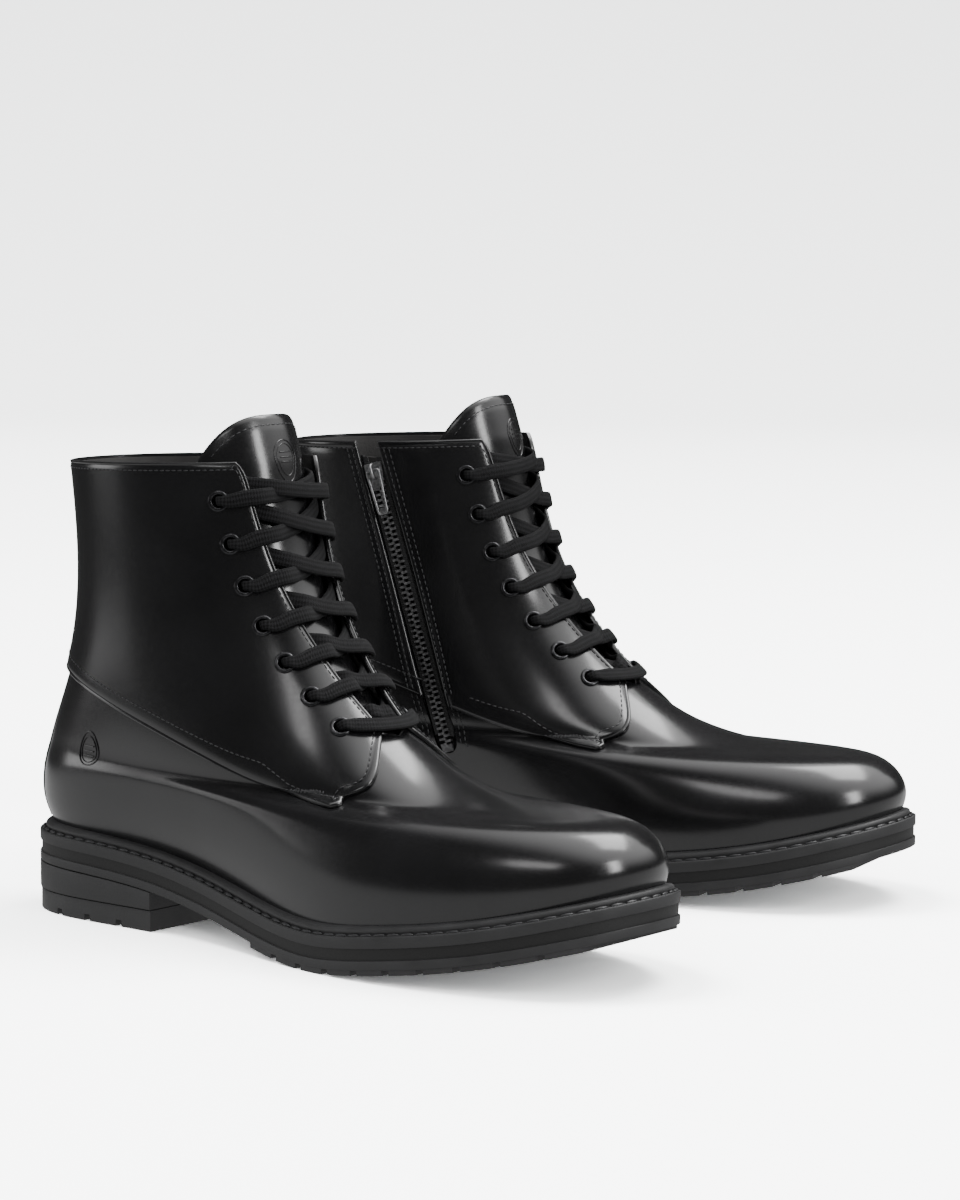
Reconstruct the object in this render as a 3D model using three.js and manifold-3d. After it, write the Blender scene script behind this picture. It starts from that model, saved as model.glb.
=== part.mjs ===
// A pair of lace-up ankle boots with an inside zip: derby facings, seven pairs of eyelets, a stitched
// welt, a sandwich sole and a block heel. Millimetres, +Z up, toes towards +X, soles on Z = 0.
// One boot is drawn in its own frame: x from the heel back to the toe, y outwards (lateral side),
// z up from the ground. The other boot is its mirror image.
import * as THREE from "three";
import { mergeVertices } from "three/addons/utils/BufferGeometryUtils.js";
import Module from "manifold-3d";

const wasm = await Module();
wasm.setup();

// ---- driving dimensions ----
const UPPER_LENGTH = 298; // heel curve to toe at the feather line
const UPPER_WIDTH = 101; // across the ball of the foot
const COLLAR_HEIGHT = 184.5; // top edge at the back, above the ground
const PAIR_SPACING = 178.2; // between the middles of the two boots
const TOE_OUT = THREE.MathUtils.degToRad(6.07); // each boot turned outwards
const TURN_POINT = 150; // place along the boot that it is turned about

const VAMP_LEATHER = 1.6;
const QUARTER_LEATHER = 1.6;
const STAY_LEATHER = 1.6; // strip up the back seam
const TONGUE_THICK = 2.2;
const TONGUE_RISE = 19; // tongue above the front of the collar
const STIFFENER = 0.7; // heel counter and toe puff
const LINING_LEATHER = 1.1;
const LAYER_GAP = 0.3; // room between flat neighbours
const CURVE_GAP = 0.5; // room between layers that curve together

const BEAD = 3.3; // rounded rand between upper and welt
const WELT = 4.7;
const MIDSOLE = 4;
const OUTSOLE = 3.6;
const LUG = 2.1;
const WELT_REACH = 5.6; // welt beyond the feather line
const BAND_RECESS = 0.5; // midsole edge behind the welt edge
const HEEL_LIFT = 8.5;
const HEEL_BREAST = 81; // front face of the heel
const INSOLE_BOARD = 2.3;
const FOOTBED = 3.2;
const LUG_PITCH = 15;
const GROOVE = 3.3; // notch between lugs
const LUGS_FROM = 143;
const LUGS_TO = 290;
const HEEL_GROOVE_DEPTH = 2.7;

const EYELETS = 7; // on each side
const EYELET_BORE = 5;
const EYELET_RIM = 8;
const EYELET_METAL = 0.5;
const EYELET_SIDES = 6; // facets round an eyelet
const EYELET_STAY = 0.7; // reinforcing strip behind the facing
const LACE_WIDTH = 6.6;
const LACE_THICK = 1.1;
const LACE_IN_BORE = 3.4; // lace gathered where it passes an eyelet

const ZIP_OPENING = 10.6; // between the two leather edges
const ZIP_TAPE = 0.6;
const TAPE_REACH = 8; // tape sewn under the leather beyond its edge
const TOOTH_ROW = 2; // width of one row of teeth
const TOOTH_THICK = 1.6;
const ZIP_TOP = 166; // top tooth, height above the ground
const ZIP_FOOT = 58; // lowest tooth
const ZIP_LEAN = 0.3; // forward lean of the zip, mm per mm of height
const ZIP_AT_TOP = 71.5; // x of the zip line at height ZIP_REF
const ZIP_REF = 177;
const ZIP_DEPTH = 35.6; // how far the zip line lies from the middle plane
const SLIDER_LENGTH = 11;
const SLIDER_WIDTH = 8;
const SLIDER_PLATE = 1;
const PULL_LENGTH = 20;
const PULL_WIDTH = 7;
const PULL_TIP = 4.6;
const PULL_BAR = 1;

// ---- grading: the pattern below is drawn for this size and scaled to the driving dimensions ----
const BASE = { length: 298, width: 101, collar: 184.5, stack: 18.3 };
const STACK = BEAD + WELT + LAYER_GAP * 2 + MIDSOLE + OUTSOLE + LUG;
const GRADE_X = UPPER_LENGTH / BASE.length;
const GRADE_Y = UPPER_WIDTH / BASE.width;
const GRADE_Z = (COLLAR_HEIGHT - STACK) / (BASE.collar - BASE.stack);

// natural cubic spline through rows of values
function spline(knots, rows) {
  const n = knots.length;
  const width = rows[0].length;
  const lower = new Array(n).fill(0);
  const bend = rows.map(() => new Array(width).fill(0));
  for (let k = 0; k < width; k += 1) {
    lower.fill(0);
    const rhs = new Array(n).fill(0);
    for (let i = 1; i < n - 1; i += 1) {
      const a = knots[i] - knots[i - 1];
      const b = knots[i + 1] - knots[i];
      const pivot = 2 * (a + b) - a * lower[i - 1];
      const jump = (rows[i + 1][k] - rows[i][k]) / b - (rows[i][k] - rows[i - 1][k]) / a;
      lower[i] = b / pivot;
      rhs[i] = (6 * jump - a * rhs[i - 1]) / pivot;
    }
    for (let i = n - 2; i > 0; i -= 1) bend[i][k] = rhs[i] - lower[i] * bend[i + 1][k];
  }
  return (t) => {
    let i = 0;
    while (i < n - 2 && t > knots[i + 1]) i += 1;
    const h = knots[i + 1] - knots[i];
    const b = (t - knots[i]) / h;
    const a = 1 - b;
    return rows[i].map((value, k) => {
      const cubic = (a ** 3 - a) * bend[i][k] + (b ** 3 - b) * bend[i + 1][k];
      return a * value + b * rows[i + 1][k] + (cubic * h * h) / 6;
    });
  };
}

const curve = (points) => {
  const at = spline(points.map((p) => p[0]), points.map((p) => [p[1]]));
  return (t) => at(t)[0];
};

// height of the feather line, where upper meets sole, along the boot
const featherBase = curve([
  [0, 36.4], [40, 35.6], [80, 32.6], [120, 26], [150, 20.6], [175, 18.3], [210, 21.2], [250, 27.2], [300, 39],
]);
const feather = (x) => STACK + (featherBase(x / GRADE_X) - BASE.stack) * GRADE_Z;

// closed loops round the last, from the feather line (v = 0) to the collar (v = 1): back point x z,
// front point x z, back and front nose radius, then half widths at heel, waist, ball and toe
// for the lateral and for the medial side
const LOOPS = [
  [0, 4.6, 36, 298, 39, 28, 36, 33, 33, 53, 46, 33, 26, 48, 50],
  [0.08, 1, 43, 299.6, 45.5, 28, 35, 35, 36, 54, 47, 35, 30, 50, 51],
  [0.16, -0.2, 50, 296.5, 54, 28, 29, 36, 38, 53, 49, 36, 33, 49, 50],
  [0.24, 0.3, 57, 286, 61, 28, 20, 36, 39, 51, 48, 36, 35, 48, 48],
  [0.34, 2.4, 65, 262, 62, 28, 10, 36, 40, 50, 42, 36, 37, 47, 42],
  [0.45, 6, 76, 226, 64.6, 28, 12, 36, 41, 48, 42, 36, 39, 46, 42],
  [0.56, 12, 92, 190, 77.8, 28, 17, 37, 42, 46, 42, 37, 40, 44, 42],
  [0.68, 19, 115, 160, 104, 28, 21, 40, 43, 44, 42, 40, 42, 43, 42],
  [0.8, 21.7, 140, 141, 132.7, 28, 25, 42, 44, 44, 42, 42, 43, 43, 42],
  [0.9, 21, 162, 132.5, 158, 29, 28, 44, 45, 44, 42, 44, 44, 44, 42],
  [1, 18.5, 184.5, 126.5, 188.5, 30, 30, 45, 46, 45, 43, 45, 46, 45, 43],
];
const loopAt = spline(LOOPS.map((row) => row[0]), LOOPS.map((row) => row.slice(1)));
const STATIONS = [0, 0.36, 0.68, 1];
const stationShare = spline(STATIONS, STATIONS.map((_, i) => STATIONS.map((__, k) => (i === k ? 1 : 0))));
const SOLE_BLEND = 0.55; // the loops follow the feather line below this height

// nose of a loop: half width grows from the end point like a circle of the given radius
const nose = (radius, distance, width) => Math.sqrt(1 - Math.exp((-2 * radius * distance) / width ** 2));

// point on the outside of the last: phi 0 is the heel, pi the toe, positive on the lateral side.
// Above v = 1 the surface runs on straight, which carries the top of the tongue.
const TONGUE_LEAN = -0.3;
function lastPoint(phi, v) {
  const loop = loopAt(Math.min(v, 1));
  const [backX, backZ, frontX, frontZ, backR, frontR] = loop;
  const r = (1 - Math.cos(phi)) / 2;
  const length = Math.hypot(frontX - backX, frontZ - backZ);
  const lateral = Math.sin(phi) >= 0;
  const widths = loop.slice(lateral ? 6 : 10, lateral ? 10 : 14);
  const share = stationShare(r);
  const half = widths.reduce((sum, width, k) => sum + width * share[k], 0);
  const y = half * nose(backR, r * length, half) * nose(frontR, (1 - r) * length, half);
  const x = backX + (frontX - backX) * r;
  const follow = (1 - Math.min(v / SOLE_BLEND, 1)) ** 3;
  const soleLine = LOOPS[0][2] + (LOOPS[0][4] - LOOPS[0][2]) * r;
  const z = backZ + (frontZ - backZ) * r + follow * (featherBase(x) - soleLine);
  const rise = Math.max(v - 1, 0) * BASE.collar;
  return new THREE.Vector3(
    (x + rise * TONGUE_LEAN) * GRADE_X,
    (lateral ? y : -y) * GRADE_Y,
    STACK + (z - BASE.stack) * GRADE_Z + rise,
  );
}

const STEP = 0.004;
function lastNormal(phi, v) {
  const across = lastPoint(phi + STEP, v).sub(lastPoint(phi - STEP, v));
  const up = lastPoint(phi, v + STEP).sub(lastPoint(phi, v - STEP));
  return up.cross(across).normalize();
}
const offLast = (phi, v, off) => lastPoint(phi, v).addScaledVector(lastNormal(phi, v), off);

// ---- mesh helpers ----
function geometryFrom(points, faces) {
  const geometry = new THREE.BufferGeometry();
  geometry.setAttribute("position", new THREE.Float32BufferAttribute(points.flatMap((p) => p.toArray()), 3));
  geometry.setIndex(faces.flat());
  return tidyGeometry(geometry);
}

// shared corners merged, empty triangles dropped and all faces turned outwards
function tidyGeometry(source) {
  const geometry = mergeVertices(source, 1e-4);
  const index = geometry.index.array;
  const place = geometry.attributes.position;
  const faces = [];
  for (let i = 0; i < index.length; i += 3) {
    const [a, b, c] = [index[i], index[i + 1], index[i + 2]];
    if (a !== b && b !== c && c !== a) faces.push([a, b, c]);
  }
  const corner = (i) => new THREE.Vector3().fromBufferAttribute(place, i);
  const volume = faces.reduce((sum, [a, b, c]) => sum + corner(a).dot(corner(b).cross(corner(c))), 0);
  if (volume < 0) faces.forEach((face) => face.reverse());
  geometry.setIndex(faces.flat());
  return geometry;
}

// closed body from a grid of outer points and a grid of inner points
function slab(outer, inner) {
  const rows = outer.length;
  const cols = outer[0].length;
  const points = [...outer.flat(), ...inner.flat()];
  const at = (i, j, layer) => layer * rows * cols + i * cols + j;
  const faces = [];
  const quad = (a, b, c, d) => faces.push([a, b, c], [a, c, d]);
  for (let i = 0; i < rows - 1; i += 1) {
    for (let j = 0; j < cols - 1; j += 1) {
      quad(at(i, j, 0), at(i + 1, j, 0), at(i + 1, j + 1, 0), at(i, j + 1, 0));
      quad(at(i, j, 1), at(i, j + 1, 1), at(i + 1, j + 1, 1), at(i + 1, j, 1));
    }
    quad(at(i, 0, 0), at(i, 0, 1), at(i + 1, 0, 1), at(i + 1, 0, 0));
    quad(at(i, cols - 1, 0), at(i + 1, cols - 1, 0), at(i + 1, cols - 1, 1), at(i, cols - 1, 1));
  }
  for (let j = 0; j < cols - 1; j += 1) {
    quad(at(0, j, 0), at(0, j + 1, 0), at(0, j + 1, 1), at(0, j, 1));
    quad(at(rows - 1, j, 0), at(rows - 1, j, 1), at(rows - 1, j + 1, 1), at(rows - 1, j + 1, 0));
  }
  return geometryFrom(points, faces);
}

// leather laid on the last: chart(u, t) gives [phi, v], the sheet lies between two offsets
function sheet(across, up, chart, inside, outside) {
  const column = (i, off) => Array.from({ length: up + 1 }, (_, j) => {
    const [phi, v] = chart(i / across, j / up);
    return offLast(phi, v, off);
  });
  const grid = (off) => Array.from({ length: across + 1 }, (_, i) => column(i, off));
  return slab(grid(outside), grid(inside));
}

// leather cut from the net of columns round the last and rows up it: has(i, j) says which cells it
// covers, chart(i, j) gives [phi, v] of a net point; columns close into a ring
function netSheet(columns, rows, has, chart, inside, outside) {
  const points = [];
  const faces = [];
  const at = (i, j, layer) => ((i % columns) * (rows + 1) + j) * 2 + layer;
  for (let i = 0; i < columns; i += 1) {
    for (let j = 0; j <= rows; j += 1) {
      const [phi, v] = chart(i, j);
      points.push(offLast(phi, v, outside), offLast(phi, v, inside));
    }
  }
  const quad = (a, b, c, d) => faces.push([a, b, c], [a, c, d]);
  const covers = (i, j) => j >= 0 && j < rows && has((i + columns) % columns, j);
  for (let i = 0; i < columns; i += 1) {
    for (let j = 0; j < rows; j += 1) {
      if (!covers(i, j)) continue;
      const [a, b, c, d] = [[i, j], [i + 1, j], [i + 1, j + 1], [i, j + 1]];
      quad(at(...a, 0), at(...b, 0), at(...c, 0), at(...d, 0));
      quad(at(...a, 1), at(...d, 1), at(...c, 1), at(...b, 1));
      const wall = (p, q) => quad(at(...p, 0), at(...p, 1), at(...q, 1), at(...q, 0));
      if (!covers(i, j - 1)) wall(a, b);
      if (!covers(i + 1, j)) wall(b, c);
      if (!covers(i, j + 1)) wall(c, d);
      if (!covers(i - 1, j)) wall(d, a);
    }
  }
  return geometryFrom(points, faces);
}

// Coons patch in the chart between four edges: bottom and top run with u, back and front with t
function patch(bottom, top, back, front) {
  const mix = (a, b, t) => a + (b - a) * t;
  return (u, t) => [0, 1].map((k) => {
    const ruled = mix(bottom(u)[k], top(u)[k], t) + mix(back(t)[k], front(t)[k], u);
    const corners = mix(mix(back(0)[k], front(0)[k], u), mix(back(1)[k], front(1)[k], u), t);
    return ruled - corners;
  });
}

// a body swept along sections that are rings of points; loop closes it on itself
function skin(sections, loop = false) {
  const n = sections.length;
  const m = sections[0].length;
  const at = (i, j) => (i % n) * m + (j % m);
  const faces = [];
  for (let i = 0; i < (loop ? n : n - 1); i += 1) {
    for (let j = 0; j < m; j += 1) {
      faces.push([at(i, j), at(i, j + 1), at(i + 1, j + 1)], [at(i, j), at(i + 1, j + 1), at(i + 1, j)]);
    }
  }
  if (!loop) {
    for (let j = 1; j < m - 1; j += 1) {
      faces.push([at(0, 0), at(0, j + 1), at(0, j)]);
      faces.push([at(n - 1, 0), at(n - 1, j), at(n - 1, j + 1)]);
    }
  }
  return geometryFrom(sections.flat(), faces);
}

function toSolid(source) {
  const bare = source.clone();
  bare.deleteAttribute("normal");
  bare.deleteAttribute("uv");
  const geometry = tidyGeometry(bare);
  return new wasm.Manifold(new wasm.Mesh({
    numProp: 3,
    vertProperties: new Float32Array(geometry.attributes.position.array),
    triVerts: new Uint32Array(geometry.index.array),
  }));
}

function fromSolid(solid) {
  const mesh = solid.getMesh();
  const geometry = new THREE.BufferGeometry();
  geometry.setAttribute("position", new THREE.BufferAttribute(new Float32Array(mesh.vertProperties), 3));
  geometry.setIndex(new THREE.BufferAttribute(new Uint32Array(mesh.triVerts), 1));
  return tidyGeometry(geometry);
}

function cut(geometry, tools) {
  return fromSolid(tools.reduce((rest, tool) => rest.subtract(toSolid(tool)), toSolid(geometry)));
}
function join(first, others) {
  return fromSolid(others.reduce((sum, other) => sum.add(toSolid(other)), toSolid(first)));
}

// box from its two corners, in a given frame
function boxBetween(low, high, frame = new THREE.Matrix4()) {
  const size = new THREE.Vector3().subVectors(high, low);
  const middle = new THREE.Vector3().addVectors(low, high).multiplyScalar(0.5);
  const geometry = new THREE.BoxGeometry(size.x, size.y, size.z);
  return geometry.translate(middle.x, middle.y, middle.z).applyMatrix4(frame);
}
const vec = (x, y, z) => new THREE.Vector3(x, y, z);

// ---- sole outline: the feather line moved outwards in plan ----
function outline(phi, reach) {
  const here = lastPoint(phi, 0);
  const ahead = lastPoint(phi + STEP, 0).sub(lastPoint(phi - STEP, 0));
  const side = new THREE.Vector2(-ahead.y, ahead.x).normalize();
  return new THREE.Vector2(here.x + side.x * reach, here.y + side.y * reach);
}

// phi on one side where the outline crosses a given x
function phiAtX(x, reach, side) {
  let [low, high] = [0.02, Math.PI - 0.02];
  for (let i = 0; i < 40; i += 1) {
    const middle = (low + high) / 2;
    if (outline(side * middle, reach).x < x) low = middle;
    else high = middle;
  }
  return (side * (low + high)) / 2;
}

// a sole layer between two heights that depend on x; from and to cut it straight across
const RUNGS = 18;
function soleLayer(reach, top, bottom, { from = null, to = null, rungs = RUNGS, taper = 0 } = {}) {
  const range = (side) => [
    from === null ? 0 : phiAtX(from, reach, side),
    to === null ? side * Math.PI : phiAtX(to, reach, side),
  ];
  const edge = (side, height, out) => {
    const [start, end] = range(side);
    return Array.from({ length: rungs + 1 }, (_, i) => {
      const plan = outline(start + ((end - start) * i) / rungs, reach - out);
      return vec(plan.x, plan.y, height(plan.x));
    });
  };
  const lateral = [edge(1, top, 0), edge(1, bottom, taper)];
  const medial = [edge(-1, top, 0), edge(-1, bottom, taper)];
  const sections = lateral[0].map((_, i) => [lateral[0][i], medial[0][i], medial[1][i], lateral[1][i]]);
  return skin(sections);
}
const below = (depth) => (x) => feather(x) - depth;

// depths of the sole layers under the feather line
const WELT_TOP = LAYER_GAP;
const BAND_TOP = BEAD + WELT + LAYER_GAP;
const OUTSOLE_TOP = BAND_TOP + MIDSOLE + LAYER_GAP;
const LUG_ROOT = OUTSOLE_TOP + OUTSOLE;
const UPPER_INNER = VAMP_LEATHER + CURVE_GAP; // where stiffeners begin
const LINING_OUTER = UPPER_INNER + STIFFENER + CURVE_GAP;
const LINING_INNER = LINING_OUTER + LINING_LEATHER;

// ---- pattern lines in the chart, [phi, v], drawn for the lateral side ----
const SEAM = curve([
  [0, 0.615], [0.66, 0.6], [1.25, 0.55], [1.53, 0.5],
  [1.7, 0.42], [1.8, 0.335], [1.9, 0.3],
]);
const SEAM_END = 1.88;
const FACING_TOP = [2.5, 1];
const TAB = [[1.95, 0.345], [2.05, 0.4], [2.4, 0.49], [2.71, 0.56], [2.88, 0.592]]; // lower front edge
const FACING = [[2.96, 0.618], [2.92, 0.65], [2.87, 0.7], [2.77, 0.79], [2.67, 0.89], [2.58, 0.98]];
const EYELET_LINE = curve([[0.605, 2.61], [0.7, 2.49], [0.82, 2.4], [0.95, 2.31]]);
const EYELET_SPAN = [0.95, 0.605];
const THROAT = curve([
  [0, 0.665], [0.66, 0.65], [1.25, 0.6], [1.53, 0.55],
  [1.75, 0.43], [1.9, 0.36], [2.05, 0.425], [2.24, 0.475],
  [2.5, 0.545], [2.62, 0.565], [2.75, 0.59], [Math.PI, 0.597],
]);
const TONGUE_FOOT = 0.583;
const TONGUE_EDGE = curve([[0.583, 2.45], [0.7, 2.2], [1, 2.08], [1.15, 2.12]]);
const LINING_FRONT = 2;
const LINING_SHARE = 0.965; // lining stops this far up the vamp at the throat

const polyline = (points) => (t) => {
  const s = t * (points.length - 1);
  const i = Math.min(Math.floor(s), points.length - 2);
  return [0, 1].map((k) => points[i][k] + (points[i + 1][k] - points[i][k]) * (s - i));
};

// ---- zip line: straight, on the medial side ----
const zipX = (z) => ZIP_AT_TOP * GRADE_X + (ZIP_REF - z) * ZIP_LEAN;
const ZIP_Y = -ZIP_DEPTH * GRADE_Y;
// phi of the place at height v that lies dx in front of the zip line
function zipPhi(v, dx) {
  let [low, high] = [0.4, 2.7];
  for (let i = 0; i < 36; i += 1) {
    const middle = (low + high) / 2;
    const place = lastPoint(-middle, v);
    if (place.x < zipX(place.z) + dx) low = middle;
    else high = middle;
  }
  return -(low + high) / 2;
}
// frame with x across the zip to the back, y outwards, z up along the zip
const zipFrame = new THREE.Matrix4().makeBasis(
  vec(-1, 0, -ZIP_LEAN).normalize(), vec(0, -1, 0), vec(-ZIP_LEAN, 0, 1).normalize(),
);
zipFrame.setPosition(zipX(ZIP_TOP), ZIP_Y, ZIP_TOP);
const ZIP_RUN = (ZIP_TOP - ZIP_FOOT) * Math.hypot(1, ZIP_LEAN);
const HALF_OPENING = ZIP_OPENING / 2;

// ---- pieces of one boot ----
const LEATHER_COLOUR = 0x0b0b0c;
const leather = () =>
  new THREE.MeshStandardMaterial({ color: LEATHER_COLOUR, roughness: 0.25, metalness: 0 });
const lining = () => new THREE.MeshStandardMaterial({ color: 0x1b1a1a, roughness: 0.8, metalness: 0 });
const board = () => new THREE.MeshStandardMaterial({ color: 0x5a4634, roughness: 0.9, metalness: 0 });
const rubber = () => new THREE.MeshStandardMaterial({ color: 0x2d2d2e, roughness: 0.7, metalness: 0 });
const darkRubber = () => new THREE.MeshStandardMaterial({ color: 0x1c1c1c, roughness: 0.75, metalness: 0 });
const textile = () => new THREE.MeshStandardMaterial({ color: 0x2f2f31, roughness: 0.9, metalness: 0 });
const metal = () => new THREE.MeshStandardMaterial({ color: 0x2a2a2c, roughness: 0.35, metalness: 1 });

// lower part of the upper, one piece from toe to heel, open at the zip
const ZIP_SLOT_FOOT = 54;
function zipSlot(halfWidth) {
  const depth = (ZIP_TOP - ZIP_SLOT_FOOT) * Math.hypot(1, ZIP_LEAN);
  return boxBetween(vec(-halfWidth, -20, -depth), vec(halfWidth, 20, 60), zipFrame);
}

// net shared by the vamp, its lining and the stiffeners: columns gather at heel and toe
const NET_COLUMNS = 28;
const VAMP_ROWS = [0.01, 0.1, 0.2, 0.33, 0.5, 0.68, 0.86, 1];
const LAST_ROW = VAMP_ROWS.length - 1;
function netPhi(i) {
  const u = i / NET_COLUMNS;
  return 2 * Math.PI * u - 0.27 * Math.sin(4 * Math.PI * u);
}
const foldPhi = (phi) => Math.min(phi, 2 * Math.PI - phi); // same place on the lateral side
const vampChart = (i, j) => [netPhi(i), VAMP_ROWS[j] * THROAT(foldPhi(netPhi(i)))];
const columnMiddle = (i) => foldPhi((netPhi(i) + netPhi(i + 1)) / 2);

// room that the vamp takes, which the quarters lying on it are cut back by
const vampRoom = () => netSheet(NET_COLUMNS, LAST_ROW, () => true, vampChart, -LINING_INNER, LAYER_GAP);

function makeVamp() {
  const body = netSheet(NET_COLUMNS, LAST_ROW, () => true, vampChart, -VAMP_LEATHER, 0);
  return cut(body, [zipSlot(HALF_OPENING)]);
}

const QUARTER_INNER = CURVE_GAP + 0.2;
const QUARTER_OUTER = QUARTER_INNER + QUARTER_LEATHER;
const frontEdge = polyline([[SEAM_END, SEAM(SEAM_END)], ...TAB, ...FACING, FACING_TOP]);
const STAY_OUTER = QUARTER_INNER - 3 * CURVE_GAP; // strip behind the facing
const STAY_INNER = STAY_OUTER - EYELET_STAY;
const EYELET_HOLE = EYELET_BORE + 2 * EYELET_METAL + 3 * LAYER_GAP;

// places of the eyelets, evenly spaced along the facing, with their frames: z outwards, y up the facing
function eyeletFrames(side) {
  const line = (s) => {
    const v = EYELET_SPAN[0] + (EYELET_SPAN[1] - EYELET_SPAN[0]) * s;
    return [side * EYELET_LINE(v), v];
  };
  const samples = 60;
  const walk = [0];
  for (let i = 1; i <= samples; i += 1) {
    const gap = lastPoint(...line(i / samples)).distanceTo(lastPoint(...line((i - 1) / samples)));
    walk.push(walk[i - 1] + gap);
  }
  return Array.from({ length: EYELETS }, (_, k) => {
    const target = (walk[samples] * k) / (EYELETS - 1);
    const i = Math.max(1, walk.findIndex((length) => length >= target - 1e-9));
    const s = (i - 1 + (target - walk[i - 1]) / (walk[i] - walk[i - 1])) / samples;
    const [phi, v] = line(s);
    const out = lastNormal(phi, v);
    const up = lastPoint(phi, v + STEP).sub(lastPoint(phi, v - STEP)).normalize();
    const across = new THREE.Vector3().crossVectors(up, out).normalize();
    const frame = new THREE.Matrix4().makeBasis(across, new THREE.Vector3().crossVectors(out, across), out);
    frame.setPosition(lastPoint(phi, v));
    return { phi, v, frame };
  });
}

function facingHoles(side) {
  return eyeletFrames(side).map(({ frame }) => {
    const drill = new THREE.CylinderGeometry(EYELET_HOLE / 2, EYELET_HOLE / 2, 12, EYELET_SIDES);
    return drill.rotateX(Math.PI / 2).applyMatrix4(frame);
  });
}

// spacing that is finer round the heel
const ease = (u) => 0.55 * u + 0.9 * u * u - 0.45 * u * u * u;

function makeQuarterLateral() {
  const bottom = (u) => [SEAM_END * ease(u), SEAM(SEAM_END * ease(u))];
  const top = (u) => [FACING_TOP[0] * ease(u), 1];
  const back = (t) => [0, SEAM(0) + (1 - SEAM(0)) * t];
  const body = sheet(12, 11, patch(bottom, top, back, frontEdge), QUARTER_INNER, QUARTER_OUTER);
  return cut(body, [vampRoom(), ...facingHoles(1)]);
}

// medial quarter in front of the zip
function makeQuarterMedialFront() {
  const seamPhi = zipPhi(SEAM(1.5), HALF_OPENING);
  const foot = -Math.max(-seamPhi, 0.5);
  const bottom = (u) => {
    const phi = foot + (-SEAM_END - foot) * u;
    return [phi, SEAM(-phi)];
  };
  const top = (u) => {
    const start = zipPhi(1, HALF_OPENING);
    return [start + (-FACING_TOP[0] - start) * u, 1];
  };
  const back = (t) => {
    const v = SEAM(-foot) + (1 - SEAM(-foot)) * t;
    return [zipPhi(v, HALF_OPENING), v];
  };
  const front = (t) => {
    const [phi, v] = frontEdge(t);
    return [-phi, v];
  };
  const body = sheet(6, 11, patch(bottom, top, back, front), QUARTER_INNER, QUARTER_OUTER);
  return cut(body, [vampRoom(), ...facingHoles(-1)]);
}

// medial quarter behind the zip, from the back seam
function makeQuarterMedialRear() {
  const foot = zipPhi(SEAM(1.4), -HALF_OPENING);
  const bottom = (u) => [foot * ease(u), SEAM(-foot * ease(u))];
  const top = (u) => [zipPhi(1, -HALF_OPENING) * ease(u), 1];
  const back = (t) => [0, SEAM(0) + (1 - SEAM(0)) * t];
  const front = (t) => {
    const v = SEAM(-foot) + (1 - SEAM(-foot)) * t;
    return [zipPhi(v, -HALF_OPENING), v];
  };
  const gap = 0.012; // the two quarters meet at the back seam without touching
  const chart = patch(bottom, top, back, front);
  const seam = (u, t) => {
    const [phi, v] = chart(u, t);
    return [Math.min(phi, -gap), v];
  };
  return sheet(9, 7, seam, QUARTER_INNER, QUARTER_OUTER);
}

const BACK_STAY_HALF = 0.24; // half width as an angle round the heel
function makeBackStay() {
  const top = SEAM(0) - 0.012;
  const foot = 0.012;
  const chart = (u, t) => [(u * 2 - 1) * BACK_STAY_HALF, foot + (top - foot) * t];
  return sheet(4, 6, chart, CURVE_GAP, CURVE_GAP + STAY_LEATHER);
}

const TONGUE_OUTER = STAY_INNER - LACE_THICK - 5.4 * CURVE_GAP;
const TONGUE_TOP = 1 + TONGUE_RISE / BASE.collar;
function makeTongue() {
  const chart = (u, t) => {
    const crown = TONGUE_TOP - 0.11 * Math.abs(u * 2 - 1) ** 3;
    const v = TONGUE_FOOT + (crown - TONGUE_FOOT) * t;
    const edge = TONGUE_EDGE(v);
    return [edge + (2 * Math.PI - 2 * edge) * u, v];
  };
  return sheet(10, 7, chart, TONGUE_OUTER - TONGUE_THICK, TONGUE_OUTER);
}

// lining: a full ring behind the vamp, and the shaft above it back from the facings
const SHAFT_ROWS = 2;
function makeLining() {
  const rows = LAST_ROW + SHAFT_ROWS;
  const chart = (i, j) => {
    const phi = netPhi(i);
    const seam = THROAT(foldPhi(phi)) * (foldPhi(phi) > LINING_FRONT ? LINING_SHARE : 1);
    if (j < LAST_ROW) return vampChart(i, j);
    return [phi, seam + ((0.995 - seam) * (j - LAST_ROW)) / SHAFT_ROWS];
  };
  const has = (i, j) => j < LAST_ROW || columnMiddle(i) < LINING_FRONT;
  const body = netSheet(NET_COLUMNS, rows, has, chart, -LINING_INNER, -LINING_OUTER);
  return cut(body, [zipSlot(HALF_OPENING + TAPE_REACH + 1)]);
}

// stiffeners between upper and lining, on cells of the same net
function makeStiffener(covers, rows, foot) {
  const chart = (i, j) => {
    const [phi, v] = vampChart(i, j);
    return [phi, Math.max(v, foot)];
  };
  const has = (i, j) => j < rows && covers(columnMiddle(i));
  return netSheet(NET_COLUMNS, LAST_ROW, has, chart, -UPPER_INNER - STIFFENER, -UPPER_INNER);
}
const makeHeelCounter = () => makeStiffener((phi) => phi < 1.1, 4, 0.01);
const makeToePuff = () => makeStiffener((phi) => phi > Math.PI - 0.8, 4, 0.01);

const BOARD_TOP = 2 * LAYER_GAP;
const BOARD_REACH = -VAMP_LEATHER - 4 * LAYER_GAP;
const makeInsoleBoard = () => soleLayer(BOARD_REACH, below(BOARD_TOP), below(BOARD_TOP + INSOLE_BOARD));
const makeFootbed = () => soleLayer(-LINING_INNER - 4 * CURVE_GAP, below(-FOOTBED), below(LAYER_GAP));

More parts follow.
